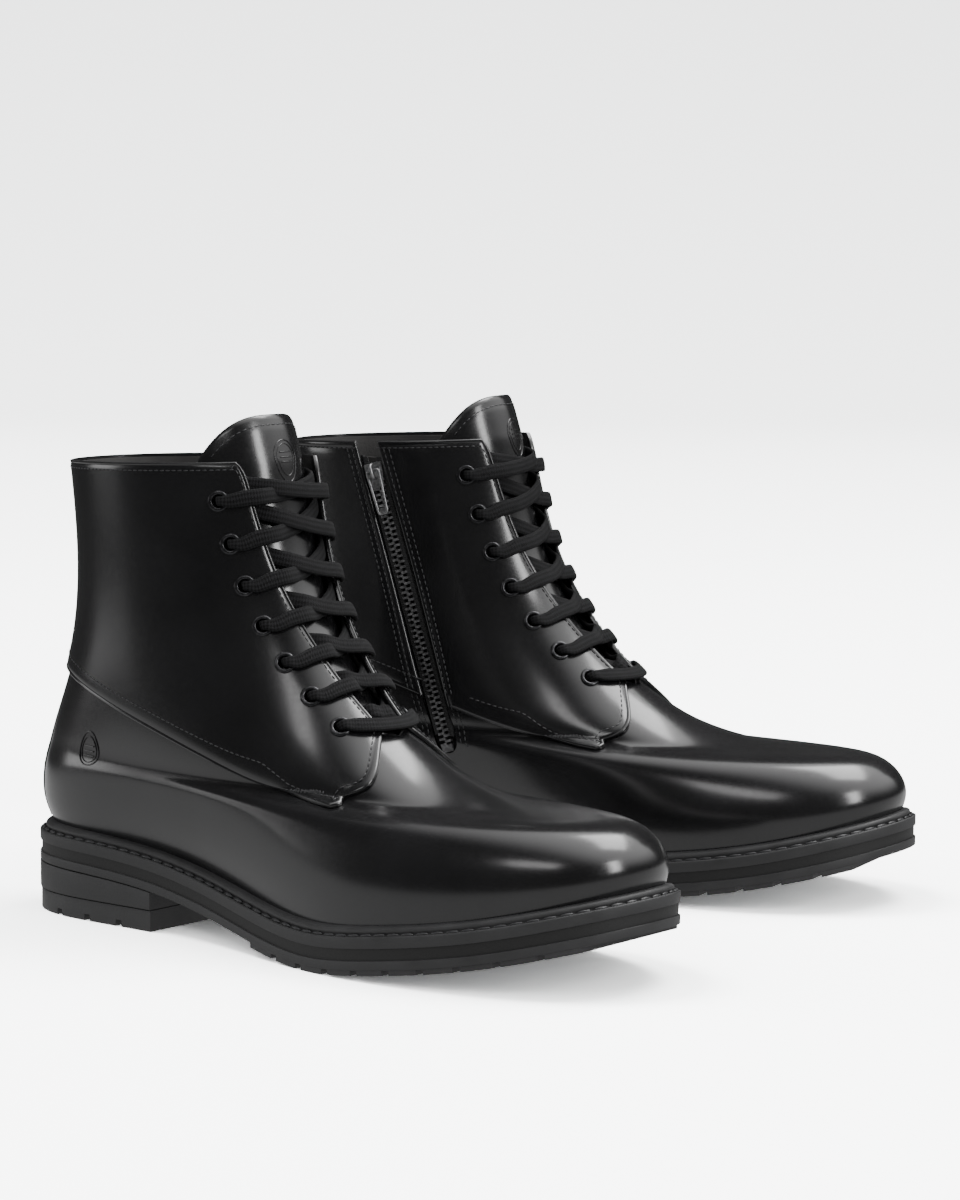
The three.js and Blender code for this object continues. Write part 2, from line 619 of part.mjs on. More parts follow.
// steel strip that stiffens the waist, set in the filler under the insole board
const SHANK_WIDTH = 14;
const SHANK_THICK = 1.1;
const SHANK_TOP = BOARD_TOP + INSOLE_BOARD + LAYER_GAP;
function makeShank() {
  const [start, end] = [58, 172];
  const steps = 10;
  const sections = Array.from({ length: steps + 1 }, (_, i) => {
    const x = (start + ((end - start) * i) / steps) * GRADE_X;
    const top = feather(x) - SHANK_TOP;
    const half = SHANK_WIDTH / 2;
    return [
      vec(x, -half, top), vec(x, half, top),
      vec(x, half, top - SHANK_THICK), vec(x, -half, top - SHANK_THICK),
    ];
  });
  return skin(sections);
}

// cork filler in the well of the welt
const WELT_WELL = -9;
const FILLER_TOP = SHANK_TOP + SHANK_THICK + 2 * CURVE_GAP;
const makeFiller = () => soleLayer(WELT_WELL - LAYER_GAP, below(FILLER_TOP), below(BAND_TOP - LAYER_GAP));

// welt with its rounded bead, a closed strip all round; depths are under the feather line
function makeWelt() {
  const shelf = BOARD_TOP + INSOLE_BOARD + LAYER_GAP;
  const boardEdge = BOARD_REACH + LAYER_GAP;
  const profile = [
    [boardEdge, WELT_TOP + 0.1], [1.6, WELT_TOP], [2.9, WELT_TOP + 1.3], [3.1, BEAD],
    [WELT_REACH, BEAD + 0.1], [WELT_REACH, BEAD + WELT],
    [WELT_WELL, BEAD + WELT], [WELT_WELL, shelf], [boardEdge, shelf],
  ];
  const steps = 2 * RUNGS;
  const sections = Array.from({ length: steps }, (_, i) => profile.map(([reach, depth]) => {
    const plan = outline((i / steps) * 2 * Math.PI, reach);
    return vec(plan.x, plan.y, feather(plan.x) - depth);
  }));
  return skin(sections, true);
}

const makeMidsole = () => soleLayer(WELT_REACH - BAND_RECESS, below(BAND_TOP), below(BAND_TOP + MIDSOLE));

// a straight groove across the sole, open downwards
function groove(x, top, width) {
  return boxBetween(vec(x - width / 2, -80, -5), vec(x + width / 2, 80, top));
}

function makeOutsole() {
  const base = soleLayer(WELT_REACH, below(OUTSOLE_TOP), below(LUG_ROOT));
  const sink = (x) => Math.max(feather(x) - LUG_ROOT - LUG, 0);
  const overlap = 0.4;
  const [from, to] = [LUGS_FROM * GRADE_X, LUGS_TO * GRADE_X];
  const lugs = soleLayer(WELT_REACH - 0.3, below(LUG_ROOT - overlap), sink, { from, to, rungs: 16 });
  const grooves = [];
  for (let x = from + LUG_PITCH; x < to - GROOVE; x += LUG_PITCH) {
    grooves.push(groove(x, feather(x) - LUG_ROOT, GROOVE));
  }
  return join(base, [cut(lugs, grooves)]);
}

const HEEL_TAPER = 0.8;
const BREAST = HEEL_BREAST * GRADE_X;
function makeHeelBlock() {
  const top = below(LUG_ROOT + LAYER_GAP);
  const bottom = () => HEEL_LIFT + LAYER_GAP;
  return soleLayer(WELT_REACH, top, bottom, { to: BREAST, rungs: 10, taper: HEEL_TAPER / 2 });
}

function makeHeelLift() {
  const body = soleLayer(WELT_REACH - HEEL_TAPER / 2, () => HEEL_LIFT, () => 0, {
    to: BREAST, rungs: 10, taper: HEEL_TAPER,
  });
  const grooves = [0.35, 0.56, 0.78].map((share) => groove(BREAST * share, HEEL_GROOVE_DEPTH, GROOVE));
  return cut(body, grooves);
}

// a row of eyelets set through the reinforcing strip behind the facing
function makeEyelets(side) {
  const frames = eyeletFrames(side);
  const bore = EYELET_BORE / 2;
  const wall = bore + EYELET_METAL;
  const rimFoot = QUARTER_OUTER + CURVE_GAP;
  const root = STAY_INNER + EYELET_STAY / 3; // barrel starts inside the strip
  const ring = [[0, root], [wall, root], [wall, rimFoot], [EYELET_RIM / 2, rimFoot],
    [EYELET_RIM / 2 - 0.3, rimFoot + EYELET_METAL], [0, rimFoot + EYELET_METAL]];
  const plugs = frames.map(({ frame }) => new THREE.LatheGeometry(
    ring.map(([r, z]) => new THREE.Vector2(r, z)), EYELET_SIDES,
  ).rotateX(Math.PI / 2).applyMatrix4(frame));
  const half = EYELET_HOLE / 2 + 1;
  const corners = [[-half, STAY_INNER], [half, STAY_INNER], [half, STAY_OUTER], [-half, STAY_OUTER]];
  const section = (frame, slide) => corners.map(([x, z]) => vec(x, slide, z).applyMatrix4(frame));
  const strip = skin([
    section(frames[0].frame, half), ...frames.map(({ frame }) => section(frame, 0)),
    section(frames[EYELETS - 1].frame, -half),
  ]);
  const drills = frames.map(({ frame }) => new THREE.CylinderGeometry(bore, bore, 12, EYELET_SIDES)
    .rotateX(Math.PI / 2).applyMatrix4(frame));
  return cut(join(strip, plugs), drills);
}

// ---- lace: one flat lace, a bar across the lowest pair, then crossing upwards; both ends tucked inside ----
const LACE_OVER = QUARTER_OUTER + CURVE_GAP + LAYER_GAP + EYELET_METAL + LACE_THICK / 2;
const LACE_UNDER = STAY_INNER - 2 * CURVE_GAP - LACE_THICK / 2;
const LACE_ON_TONGUE = TONGUE_OUTER + 3.6 * CURVE_GAP + LACE_THICK / 2;
const LACE_CROSSING = LACE_THICK + 2 * LAYER_GAP; // upper strand over the lower one
const WIDE_GAP = 16; // from this half width of the facing gap on, the lace rests on the tongue
const FACING_EDGE = curve([[0.618, 2.96], [0.7, 2.87], [0.79, 2.77], [0.89, 2.67], [1, 2.57]]);

// one crossing from the outside of an eyelet to under the facing at the next one on the other side
function laceCrossing(from, to, high) {
  const start = from.phi;
  const end = 2 * Math.PI - to.phi;
  const at = (q) => [start + (end - start) * q, from.v + (to.v - from.v) * q];
  const edge = (v, phi) => (FACING_EDGE(v) - phi) / (end - start);
  const leave = edge(from.v, start) + 0.03;
  const arrive = 1 - edge(to.v, to.phi) - 0.03;
  const [phi, v] = at(leave);
  const half = lastPoint(phi, v).distanceTo(lastPoint(Math.PI, v));
  const rest = Math.min(half / WIDE_GAP, 1);
  const middle = -0.4 + (LACE_ON_TONGUE + 0.4) * rest + (high ? LACE_CROSSING : 0);
  const lifts = [
    [0.5 * leave, LACE_OVER], [leave, LACE_OVER - 0.2], [leave + (0.5 - leave) * 0.5, middle + 1.2],
    [0.5, middle], [arrive - (arrive - 0.5) * 0.4, middle - 0.3 * (1 - rest)], [arrive, LACE_UNDER],
  ];
  return lifts.map(([q, lift]) => ({ at: at(q), lift, half: LACE_WIDTH / 2 }));
}

// stations through an eyelet from under the facing to the outside
function lacePass({ phi, v }) {
  const perMm = 0.1 / lastPoint(phi + 0.1, v).distanceTo(lastPoint(phi, v));
  const slim = LACE_IN_BORE / 2;
  const station = (toGap, lift) => ({ at: [phi + toGap * perMm, v], lift, half: slim });
  return [
    station(3.2, LACE_UNDER), station(0.2, LACE_UNDER + 0.4),
    station(0.2, LACE_OVER - 0.3), station(3.4, LACE_OVER),
  ];
}

const LACE_END = { phi: 2.36, v: 0.975 }; // where an end is tucked away behind the facing
const otherSide = (stations) => stations.map((s) => ({ ...s, at: [2 * Math.PI - s.at[0], s.at[1]] }));

function makeLace() {
  const rows = eyeletFrames(1);
  const last = EYELETS - 1;
  // one half of the lace, from the lowest eyelet of a side upwards, drawn as if it began lateral
  const half = (high) => {
    let route = lacePass(rows[last]).reverse();
    let swapped = false;
    for (let k = last; k > 0; k -= 1) {
      const inside = k === last;
      const crossing = laceCrossing(rows[k], rows[k - 1], high === swapped);
      const first = { ...crossing[0], lift: LACE_UNDER };
      const second = { ...crossing[1], lift: LACE_UNDER };
      const run = [...(inside ? [first, second, ...crossing.slice(2)] : crossing)];
      const leg = [...run, ...otherSide(lacePass(rows[k - 1]))];
      route = route.concat(swapped ? otherSide(leg) : leg);
      swapped = !swapped;
    }
    const tuck = laceCrossing(rows[0], LACE_END, high === swapped);
    tuck.push({ ...tuck[tuck.length - 1], at: [2 * Math.PI - LACE_END.phi, LACE_END.v] });
    return route.concat(swapped ? otherSide(tuck) : tuck);
  };
  const barLift = LACE_OVER + 0.1;
  const { phi, v } = rows[last];
  const bar = [0.35, 0.75].map((share) => ({
    at: [phi + (Math.PI - phi) * share, v], lift: barLift - share * 0.5, half: LACE_WIDTH / 2,
  }));
  const stations = [...half(true).reverse(), ...bar, ...otherSide(bar).reverse(), ...otherSide(half(false))];
  const points = stations.map((s) => offLast(s.at[0], s.at[1], s.lift));
  const sections = stations.map((station, i) => {
    const [angle, height] = station.at;
    const next = points[Math.min(i + 1, points.length - 1)];
    const previous = points[Math.max(i - 1, 0)];
    const along = new THREE.Vector3().subVectors(next, previous).normalize();
    const up = lastPoint(angle, height + STEP).sub(lastPoint(angle, height - STEP)).normalize();
    const wide = up.addScaledVector(along, -up.dot(along)).normalize();
    const thick = new THREE.Vector3().crossVectors(along, wide);
    const corner = (a, b) => points[i].clone()
      .addScaledVector(wide, a * station.half).addScaledVector(thick, (b * LACE_THICK) / 2);
    return [corner(-1, -1), corner(1, -1), corner(1, 1), corner(-1, 1)];
  });
  return skin(sections);
}

// ---- zip ----
const TEETH_GAP = 0.7; // from the middle of the zip to a row, room for the slider's post
const TAPE_OUTER = -VAMP_LEATHER - 5.2 * CURVE_GAP;
const TAPE_FOOT = 0.31; // lower end of the tapes, as a height in the chart
function makeTape(side) {
  const steps = 12;
  const inner = TEETH_GAP + TOOTH_ROW + LAYER_GAP;
  const under = TAPE_OUTER;
  const sections = Array.from({ length: steps + 1 }, (_, i) => {
    const v = TAPE_FOOT + ((0.965 - TAPE_FOOT) * i) / steps;
    const edge = HALF_OPENING + TAPE_REACH;
    const phi = zipPhi(v, side * edge);
    const sewn = [offLast(phi, v, under), offLast(phi, v, under - ZIP_TAPE)];
    const z = lastPoint(phi, v).z;
    const flat = (dx, dy) => vec(zipX(z) + side * dx, ZIP_Y + dy, z);
    const shoulder = SLIDER_WIDTH / 2 + 2 * LAYER_GAP;
    const front = [flat(shoulder, -ZIP_TAPE / 2), flat(inner, -ZIP_TAPE / 2)];
    const back = [flat(inner, ZIP_TAPE / 2), flat(shoulder, ZIP_TAPE / 2)];
    const waistPhi = zipPhi(v, side * (HALF_OPENING + 1.2));
    const waist = [under - LAYER_GAP, under - ZIP_TAPE - LAYER_GAP].map((off) => offLast(waistPhi, v, off));
    return [sewn[0], waist[0], ...front, ...back, waist[1], sewn[1]];
  });
  return skin(sections);
}

function makeTeeth(side) {
  const low = vec(TEETH_GAP, -TOOTH_THICK / 2, -ZIP_RUN);
  const high = vec(TEETH_GAP + TOOTH_ROW, TOOTH_THICK / 2, SLIDER_LENGTH);
  const row = boxBetween(low, high);
  if (side > 0) row.rotateZ(Math.PI);
  return row.applyMatrix4(zipFrame);
}

// two plates and a post; an arch on the outer plate holds the pull
const PLATE_FACE = TOOTH_THICK / 2 + LAYER_GAP;
const ARCH_CLEAR = PULL_BAR + 2 * LAYER_GAP;
const ARCH_HALF = 1;
const ARCH_WALL = 0.8;
const SLIDER_FOOT = 0.5; // lower end of the slider in the zip frame
const ARCH_DROP = 3.2; // hinge of the pull below the slider's top
const PULL_PIVOT = vec(
  0, PLATE_FACE + SLIDER_PLATE + ARCH_CLEAR / 2, SLIDER_FOOT + SLIDER_LENGTH - ARCH_DROP,
);
function makeSlider() {
  const half = SLIDER_WIDTH / 2;
  const top = SLIDER_FOOT + SLIDER_LENGTH;
  const outer = PLATE_FACE + SLIDER_PLATE;
  const upperPlate = boxBetween(vec(-half, PLATE_FACE, SLIDER_FOOT), vec(half, outer, top));
  const lowerPlate = boxBetween(vec(-half, -outer, SLIDER_FOOT), vec(half, -PLATE_FACE, top));
  const postHalf = TEETH_GAP - LAYER_GAP;
  const post = boxBetween(vec(-postHalf, -outer + 0.2, top - 4), vec(postHalf, outer - 0.2, top - 0.5));
  const reach = ARCH_CLEAR / 2;
  const arch = boxBetween(
    vec(-ARCH_HALF, outer - 0.2, PULL_PIVOT.z - reach - ARCH_WALL),
    vec(ARCH_HALF, PULL_PIVOT.y + reach + ARCH_WALL, PULL_PIVOT.z + reach + ARCH_WALL),
  );
  const window = boxBetween(
    vec(-ARCH_HALF - 1, outer, PULL_PIVOT.z - reach),
    vec(ARCH_HALF + 1, PULL_PIVOT.y + reach, PULL_PIVOT.z + reach),
  );
  return join(upperPlate, [lowerPlate, post, cut(arch, [window])]).applyMatrix4(zipFrame);
}

// open frame that hangs from the arch
function makePull() {
  const bar = PULL_BAR / 2;
  const foot = bar - PULL_LENGTH;
  const side = PULL_BAR * 1.1;
  const corners = (points) => points.map(([x, y]) => new THREE.Vector2(x, y));
  const shape = new THREE.Shape(corners([
    [-PULL_WIDTH / 2, bar], [PULL_WIDTH / 2, bar], [PULL_TIP / 2, foot], [-PULL_TIP / 2, foot],
  ]));
  shape.holes.push(new THREE.Path(corners([
    [-PULL_WIDTH / 2 + side, -bar], [-PULL_TIP / 2 + PULL_BAR, foot + PULL_BAR],
    [PULL_TIP / 2 - PULL_BAR, foot + PULL_BAR], [PULL_WIDTH / 2 - side, -bar],
  ])));
  const frame = new THREE.ExtrudeGeometry(shape, { depth: PULL_BAR, bevelEnabled: false });
  frame.deleteAttribute("normal");
  frame.deleteAttribute("uv");
  frame.translate(0, 0, -bar).rotateX(Math.PI / 2).translate(PULL_PIVOT.x, PULL_PIVOT.y, PULL_PIVOT.z);
  return tidyGeometry(frame).applyMatrix4(zipFrame);
}

function makeBottomStop() {
  const reach = TEETH_GAP + TOOTH_ROW;
  const low = vec(-reach, -TOOTH_THICK / 2 - 0.2, -ZIP_RUN - 3.2);
  const high = vec(reach, TOOTH_THICK / 2 + 0.2, -ZIP_RUN - LAYER_GAP);
  return boxBetween(low, high).applyMatrix4(zipFrame);
}

// leather flap inside that keeps the zip off the ankle, sewn to the tapes
function makeZipGuard() {
  const outer = TAPE_OUTER - ZIP_TAPE - LAYER_GAP - CURVE_GAP;
  const chart = (u, t) => {
    const v = 0.28 + 0.69 * t;
    return [zipPhi(v, (1 - 2 * u) * (HALF_OPENING + TAPE_REACH - 0.5)), v];
  };
  return sheet(4, 8, chart, outer - LINING_LEATHER, outer);
}

const pieces = [
  ["vamp", makeVamp(), leather], ["quarter_lateral", makeQuarterLateral(), leather],
  ["quarter_medial_front", makeQuarterMedialFront(), leather],
  ["quarter_medial_rear", makeQuarterMedialRear(), leather],
  ["back_stay", makeBackStay(), leather], ["tongue", makeTongue(), leather],
  ["lining", makeLining(), lining], ["heel_counter", makeHeelCounter(), board],
  ["toe_puff", makeToePuff(), board], ["insole_board", makeInsoleBoard(), board],
  ["shank", makeShank(), metal], ["filler", makeFiller(), board], ["footbed", makeFootbed(), lining],
  ["welt", makeWelt(), rubber], ["midsole", makeMidsole(), darkRubber], ["outsole", makeOutsole(), rubber],
  ["heel_block", makeHeelBlock(), rubber], ["heel_lift", makeHeelLift(), rubber],
  ["eyelets_lateral", makeEyelets(1), metal], ["eyelets_medial", makeEyelets(-1), metal],
  ["lace", makeLace(), textile],
  ["zip_tape_front", makeTape(1), textile],
  ["zip_tape_rear", makeTape(-1), textile],
  ["zip_teeth_front", makeTeeth(1), metal], ["zip_teeth_rear", makeTeeth(-1), metal],
  ["zip_slider", makeSlider(), metal], ["zip_pull", makePull(), metal],
  ["zip_bottom_stop", makeBottomStop(), metal], ["zip_guard", makeZipGuard(), lining],
];

// mirror image in the boot's middle plane, with the faces turned back outwards
function mirrored(source) {
  const geometry = source.clone().scale(1, -1, 1);
  const index = geometry.index.array;
  for (let i = 0; i < index.length; i += 3) [index[i], index[i + 1]] = [index[i + 1], index[i]];
  return geometry;
}

function makeBoot(name, side) {
  const boot = new THREE.Group();
  for (const [piece, geometry, material] of pieces) {
    const shape = side > 0 ? geometry.clone() : mirrored(geometry);
    shape.computeVertexNormals();
    const mesh = new THREE.Mesh(shape, material());
    mesh.name = `${name}_${piece}`;
    mesh.position.x = -TURN_POINT * GRADE_X;
    boot.add(mesh);
  }
  boot.rotation.z = side * TOE_OUT;
  boot.position.y = (side * PAIR_SPACING) / 2;
  return boot;
}

// the pair, moved so that the middle of its box stands over the origin
const group = new THREE.Group();
const pair = new THREE.Group();
pair.add(makeBoot("left", 1), makeBoot("right", -1));
group.add(pair);
group.updateMatrixWorld(true);
const middle = new THREE.Box3().setFromObject(pair, true).getCenter(new THREE.Vector3());
pair.position.set(-middle.x, -middle.y, 0);

export default group;
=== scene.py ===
import math

import bmesh
import bpy
import numpy as np
from mathutils import Matrix, Vector


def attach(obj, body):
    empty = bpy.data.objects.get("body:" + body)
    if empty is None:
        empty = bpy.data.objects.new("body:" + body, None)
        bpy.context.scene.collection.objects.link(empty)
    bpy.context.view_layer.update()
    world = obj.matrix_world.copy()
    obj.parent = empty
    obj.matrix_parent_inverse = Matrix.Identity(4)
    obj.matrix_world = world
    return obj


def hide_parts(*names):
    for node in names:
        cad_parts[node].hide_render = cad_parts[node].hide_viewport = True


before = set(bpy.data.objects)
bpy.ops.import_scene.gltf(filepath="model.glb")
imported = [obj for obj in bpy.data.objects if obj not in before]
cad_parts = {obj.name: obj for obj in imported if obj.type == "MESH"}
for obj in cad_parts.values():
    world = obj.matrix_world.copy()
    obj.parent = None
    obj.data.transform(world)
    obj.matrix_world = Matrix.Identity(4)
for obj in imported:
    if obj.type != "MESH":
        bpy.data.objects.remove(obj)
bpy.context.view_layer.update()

# ---- camera ----
# A long lens from the right front, a little above the boots, with the pair in the lower part of
# the picture.
VIEW_AZIMUTH = math.radians(32.017)
VIEW_ELEVATION = math.radians(6.257)
VIEW_ROLL = math.radians(0.339)
VIEW_DISTANCE = 1.55462
VIEW_TARGET = Vector((0.00741, 0, 0.12724))
LENS = 114.39
back_axis = Vector((
    math.sin(VIEW_AZIMUTH) * math.cos(VIEW_ELEVATION),
    -math.cos(VIEW_AZIMUTH) * math.cos(VIEW_ELEVATION),
    math.sin(VIEW_ELEVATION),
))
right_axis = Vector((0, 0, 1)).cross(back_axis).normalized()
up_axis = back_axis.cross(right_axis)
camera_data = bpy.data.cameras.new("camera")
camera_data.lens = LENS
camera_data.sensor_width = 36
camera_data.clip_end = 30
camera = bpy.data.objects.new("camera", camera_data)
turn = Matrix((right_axis, up_axis, back_axis)).transposed() @ Matrix.Rotation(VIEW_ROLL, 3, "Z")
camera.matrix_world = Matrix.Translation(VIEW_TARGET + back_axis * VIEW_DISTANCE) @ turn.to_4x4()
bpy.context.scene.collection.objects.link(camera)
bpy.context.scene.camera = camera

# ---- floor and light ----
# A pale seamless floor that curves up behind the pair, under an even sky. Both are darker in
# reflections: the floor glows only near the boots, and the sky has one wide soft glow overhead.
# Four soft panels make the highlights, and a lamp that is left out of reflections makes the shadows.
FLOOR_COLOUR = (3.0, 3.03, 3.03, 1)
FLOOR_HALF_WIDTH = 7
CURVE_START = 3.2
CURVE_RADIUS = 1.5
WALL_TOP = 6.0
SKY_LEVEL = 1.15
FLAG_LEVEL = 0.06
FLOOR_GLOW = 0.7
GLOW_REACH = (0.3, 1.1)
GLOW_LEVEL = 2.6
GLOW_WAY = (0.3, 0.35, 0.88)
GLOW_SPAN = (0.45, 1.0)


def node_material(name):
    made = bpy.data.materials.new(name)
    made.use_nodes = True
    return made, made.node_tree, made.node_tree.nodes["Principled BSDF"]


def feed(tree, node, values):
    """Sets a node's inputs: an output socket is linked, anything else is the input's own value."""
    for name, value in values.items():
        if isinstance(value, bpy.types.NodeSocket):
            tree.links.new(value, node.inputs[name])
        else:
            node.inputs[name].default_value = value
    return node


def add_node(tree, kind, values, **settings):
    node = tree.nodes.new(kind)
    for name, value in settings.items():
        setattr(node, name, value)
    return feed(tree, node, values)


def ranged(tree, value, low, high, start=0.3, end=0.7, ease="LINEAR"):
    """The value, taken from start..end to low..high."""
    limits = {"Value": value, "From Min": start, "From Max": end, "To Min": low, "To Max": high}
    return add_node(tree, "ShaderNodeMapRange", limits, interpolation_type=ease).outputs["Result"]


def place_of(tree, output="Object"):
    return tree.nodes.new("ShaderNodeTexCoord").outputs[output]


def by_ray(tree, ray, others, seen, surface):
    """One shader for one kind of ray and another for all others."""
    switch = {"Fac": tree.nodes.new("ShaderNodeLightPath").outputs[ray], 1: others, 2: seen}
    mix = add_node(tree, "ShaderNodeMixShader", switch)
    tree.links.new(mix.outputs["Shader"], surface.inputs["Surface"])


floor_paint, floor_tree, unused_shader = node_material("floor_paint")
floor_tree.nodes.remove(unused_shader)
seen_floor = add_node(floor_tree, "ShaderNodeBsdfDiffuse", {"Color": FLOOR_COLOUR})
floor_reach = add_node(floor_tree, "ShaderNodeVectorMath", {0: place_of(floor_tree)}, operation="LENGTH")
near_glow = ranged(
    floor_tree, floor_reach.outputs["Value"], FLOOR_GLOW, FLAG_LEVEL, *GLOW_REACH, ease="SMOOTHERSTEP",
)
dark_floor = add_node(floor_tree, "ShaderNodeEmission", {"Strength": near_glow})
by_ray(
    floor_tree, "Is Camera Ray", dark_floor.outputs["Emission"], seen_floor.outputs["BSDF"],
    floor_tree.nodes["Material Output"],
)
sweep = [(-4.0, 0.0), (0.0, 0.0), (CURVE_START, 0.0)]
for a in np.linspace(0.1, math.pi / 2, 16):
    sweep.append((CURVE_START + CURVE_RADIUS * math.sin(a), CURVE_RADIUS * (1 - math.cos(a))))
sweep.append((CURVE_START + CURVE_RADIUS, WALL_TOP))
away = Vector((-back_axis.x, -back_axis.y, 0)).normalized()
across = Vector((away.y, -away.x, 0))
corners = [
    away * run + across * side + Vector((0, 0, rise))
    for run, rise in sweep
    for side in (-FLOOR_HALF_WIDTH, FLOOR_HALF_WIDTH)
]
faces = [(2 * i, 2 * i + 1, 2 * i + 3, 2 * i + 2) for i in range(len(sweep) - 1)]
floor_mesh = bpy.data.meshes.new("studio_floor")
floor_mesh.from_pydata([tuple(c) for c in corners], [], faces)
floor_mesh.shade_smooth()
floor_mesh.materials.append(floor_paint)
studio_floor = bpy.data.objects.new("studio_floor", floor_mesh)
bpy.context.scene.collection.objects.link(studio_floor)

world = bpy.data.worlds.new("studio")
world.use_nodes = True
sky = world.node_tree
bounce = feed(sky, sky.nodes["Background"], {"Color": (1, 1, 1, 1), "Strength": SKY_LEVEL})
aim_at_glow = add_node(
    sky, "ShaderNodeVectorMath", {0: place_of(sky, "Generated"), 1: Vector(GLOW_WAY).normalized()},
    operation="DOT_PRODUCT",
)
sky_glow = ranged(
    sky, aim_at_glow.outputs["Value"], FLAG_LEVEL, GLOW_LEVEL, *GLOW_SPAN, ease="SMOOTHERSTEP",
)
reflected = add_node(sky, "ShaderNodeBackground", {"Color": (1, 1, 1, 1), "Strength": sky_glow})
by_ray(
    sky, "Is Glossy Ray", bounce.outputs["Background"], reflected.outputs["Background"],
    sky.nodes["World Output"],
)
world.cycles.sampling_method = "NONE"
bpy.context.scene.world = world


def lamp(name, kind, power, aim, place=(0, 0, 0), **settings):
    data = bpy.data.lights.new(name, kind)
    data.energy = power
    for key, value in settings.items():
        setattr(data, key, value)
    light = bpy.data.objects.new(name, data)
    light.location = place
    light.rotation_mode = "QUATERNION"
    light.rotation_quaternion = Vector(aim).to_track_quat("-Z", "Y")
    bpy.context.scene.collection.objects.link(light)
    return light


for name, place, target, width, height, power in (
    ("overhead_panel", (0.5, 0.7, 2.0), (0.05, 0, 0.1), 1.5, 0.9, 40),
    ("heel_side_panel", (-2.25, -0.95, 0.45), (0, 0, 0.12), 0.9, 0.9, 7),
    ("front_panel", (2.3, -0.5, 1.1), (0, 0, 0.1), 0.5, 1.2, 26),
    ("lens_side_panel", (0.2, -2.3, 1.9), (0, 0, 0.12), 1.2, 0.5, 9),
):
    aim = Vector(target) - Vector(place)
    lamp(name, "AREA", power, aim, place, shape="RECTANGLE", size=width, size_y=height)
shade_lamp = lamp("shade_lamp", "SUN", 2.2, (0.45, 0.1, -1.0), angle=math.radians(24))
shade_lamp.visible_glossy = False

# ---- vamp: the lower part of the upper ----
# One piece of smooth black leather from toe to heel, pulled down over the last and open at the zip.
# All the leather is laid on the surface of the last, so its measures come first: closed loops from
# the feather line (v = 0) to the collar (v = 1), with phi 0 at the heel and pi at the toe.
MM = 0.001
TURN_POINT = 150
TOE_OUT = math.radians(6.07)
BOOT_SPACING = 178.2
PAIR_SHIFT = -0.727
LOOPS = np.array([
    # v, back x z, front x z, nose radii, lateral heel waist ball toe, medial heel waist ball toe
    [0, 4.6, 36, 298, 39, 28, 36, 33, 33, 53, 46, 33, 26, 48, 50],
    [0.08, 1, 43, 299.6, 45.5, 28, 35, 35, 36, 54, 47, 35, 30, 50, 51],
    [0.16, -0.2, 50, 296.5, 54, 28, 29, 36, 38, 53, 49, 36, 33, 49, 50],
    [0.24, 0.3, 57, 286, 61, 28, 20, 36, 39, 51, 48, 36, 35, 48, 48],
    [0.34, 2.4, 65, 262, 62, 28, 10, 36, 40, 50, 42, 36, 37, 47, 42],
    [0.45, 6, 76, 226, 64.6, 28, 12, 36, 41, 48, 42, 36, 39, 46, 42],
    [0.56, 12, 92, 190, 77.8, 28, 17, 37, 42, 46, 42, 37, 40, 44, 42],
    [0.68, 19, 115, 160, 104, 28, 21, 40, 43, 44, 42, 40, 42, 43, 42],
    [0.8, 21.7, 140, 141, 132.7, 28, 25, 42, 44, 44, 42, 42, 43, 43, 42],
    [0.9, 21, 162, 132.5, 158, 29, 28, 44, 45, 44, 42, 44, 44, 44, 42],
    [1, 18.5, 184.5, 126.5, 188.5, 30, 30, 45, 46, 45, 43, 45, 46, 45, 43],
])
SOLE_BLEND = 0.55
TONGUE_LEAN = -0.3
COLLAR_RISE = 184.5


def natural_spline(knots, rows):
    """Smooth curve through rows of values; returns a function of an array of places."""
    t = np.asarray(knots, float)
    y = np.asarray(rows, float).reshape(len(t), -1)
    h = np.diff(t)
    system = np.eye(len(t))
    jumps = np.zeros_like(y)
    for i in range(1, len(t) - 1):
        system[i, i - 1:i + 2] = h[i - 1], 2 * (h[i - 1] + h[i]), h[i]
        jumps[i] = 6 * ((y[i + 1] - y[i]) / h[i] - (y[i] - y[i - 1]) / h[i - 1])
    bend = np.linalg.solve(system, jumps)

    def at(place):
        x = np.asarray(place, float)
        i = np.clip(np.searchsorted(t, x) - 1, 0, len(t) - 2)
        step = h[i][..., None]
        b = (x - t[i])[..., None] / step
        a = 1 - b
        cubic = (a**3 - a) * bend[i] + (b**3 - b) * bend[i + 1]
        return a * y[i] + b * y[i + 1] + cubic * step * step / 6

    return at


def line(points):
    made = natural_spline([p[0] for p in points], [p[1] for p in points])
    return lambda place: made(place)[..., 0]


feather = line([
    (0, 36.4), (40, 35.6), (80, 32.6), (120, 26), (150, 20.6), (175, 18.3), (210, 21.2), (250, 27.2),
    (300, 39),
])
loop_at = natural_spline(LOOPS[:, 0], LOOPS[:, 1:])
station_share = natural_spline([0, 0.36, 0.68, 1], np.eye(4))


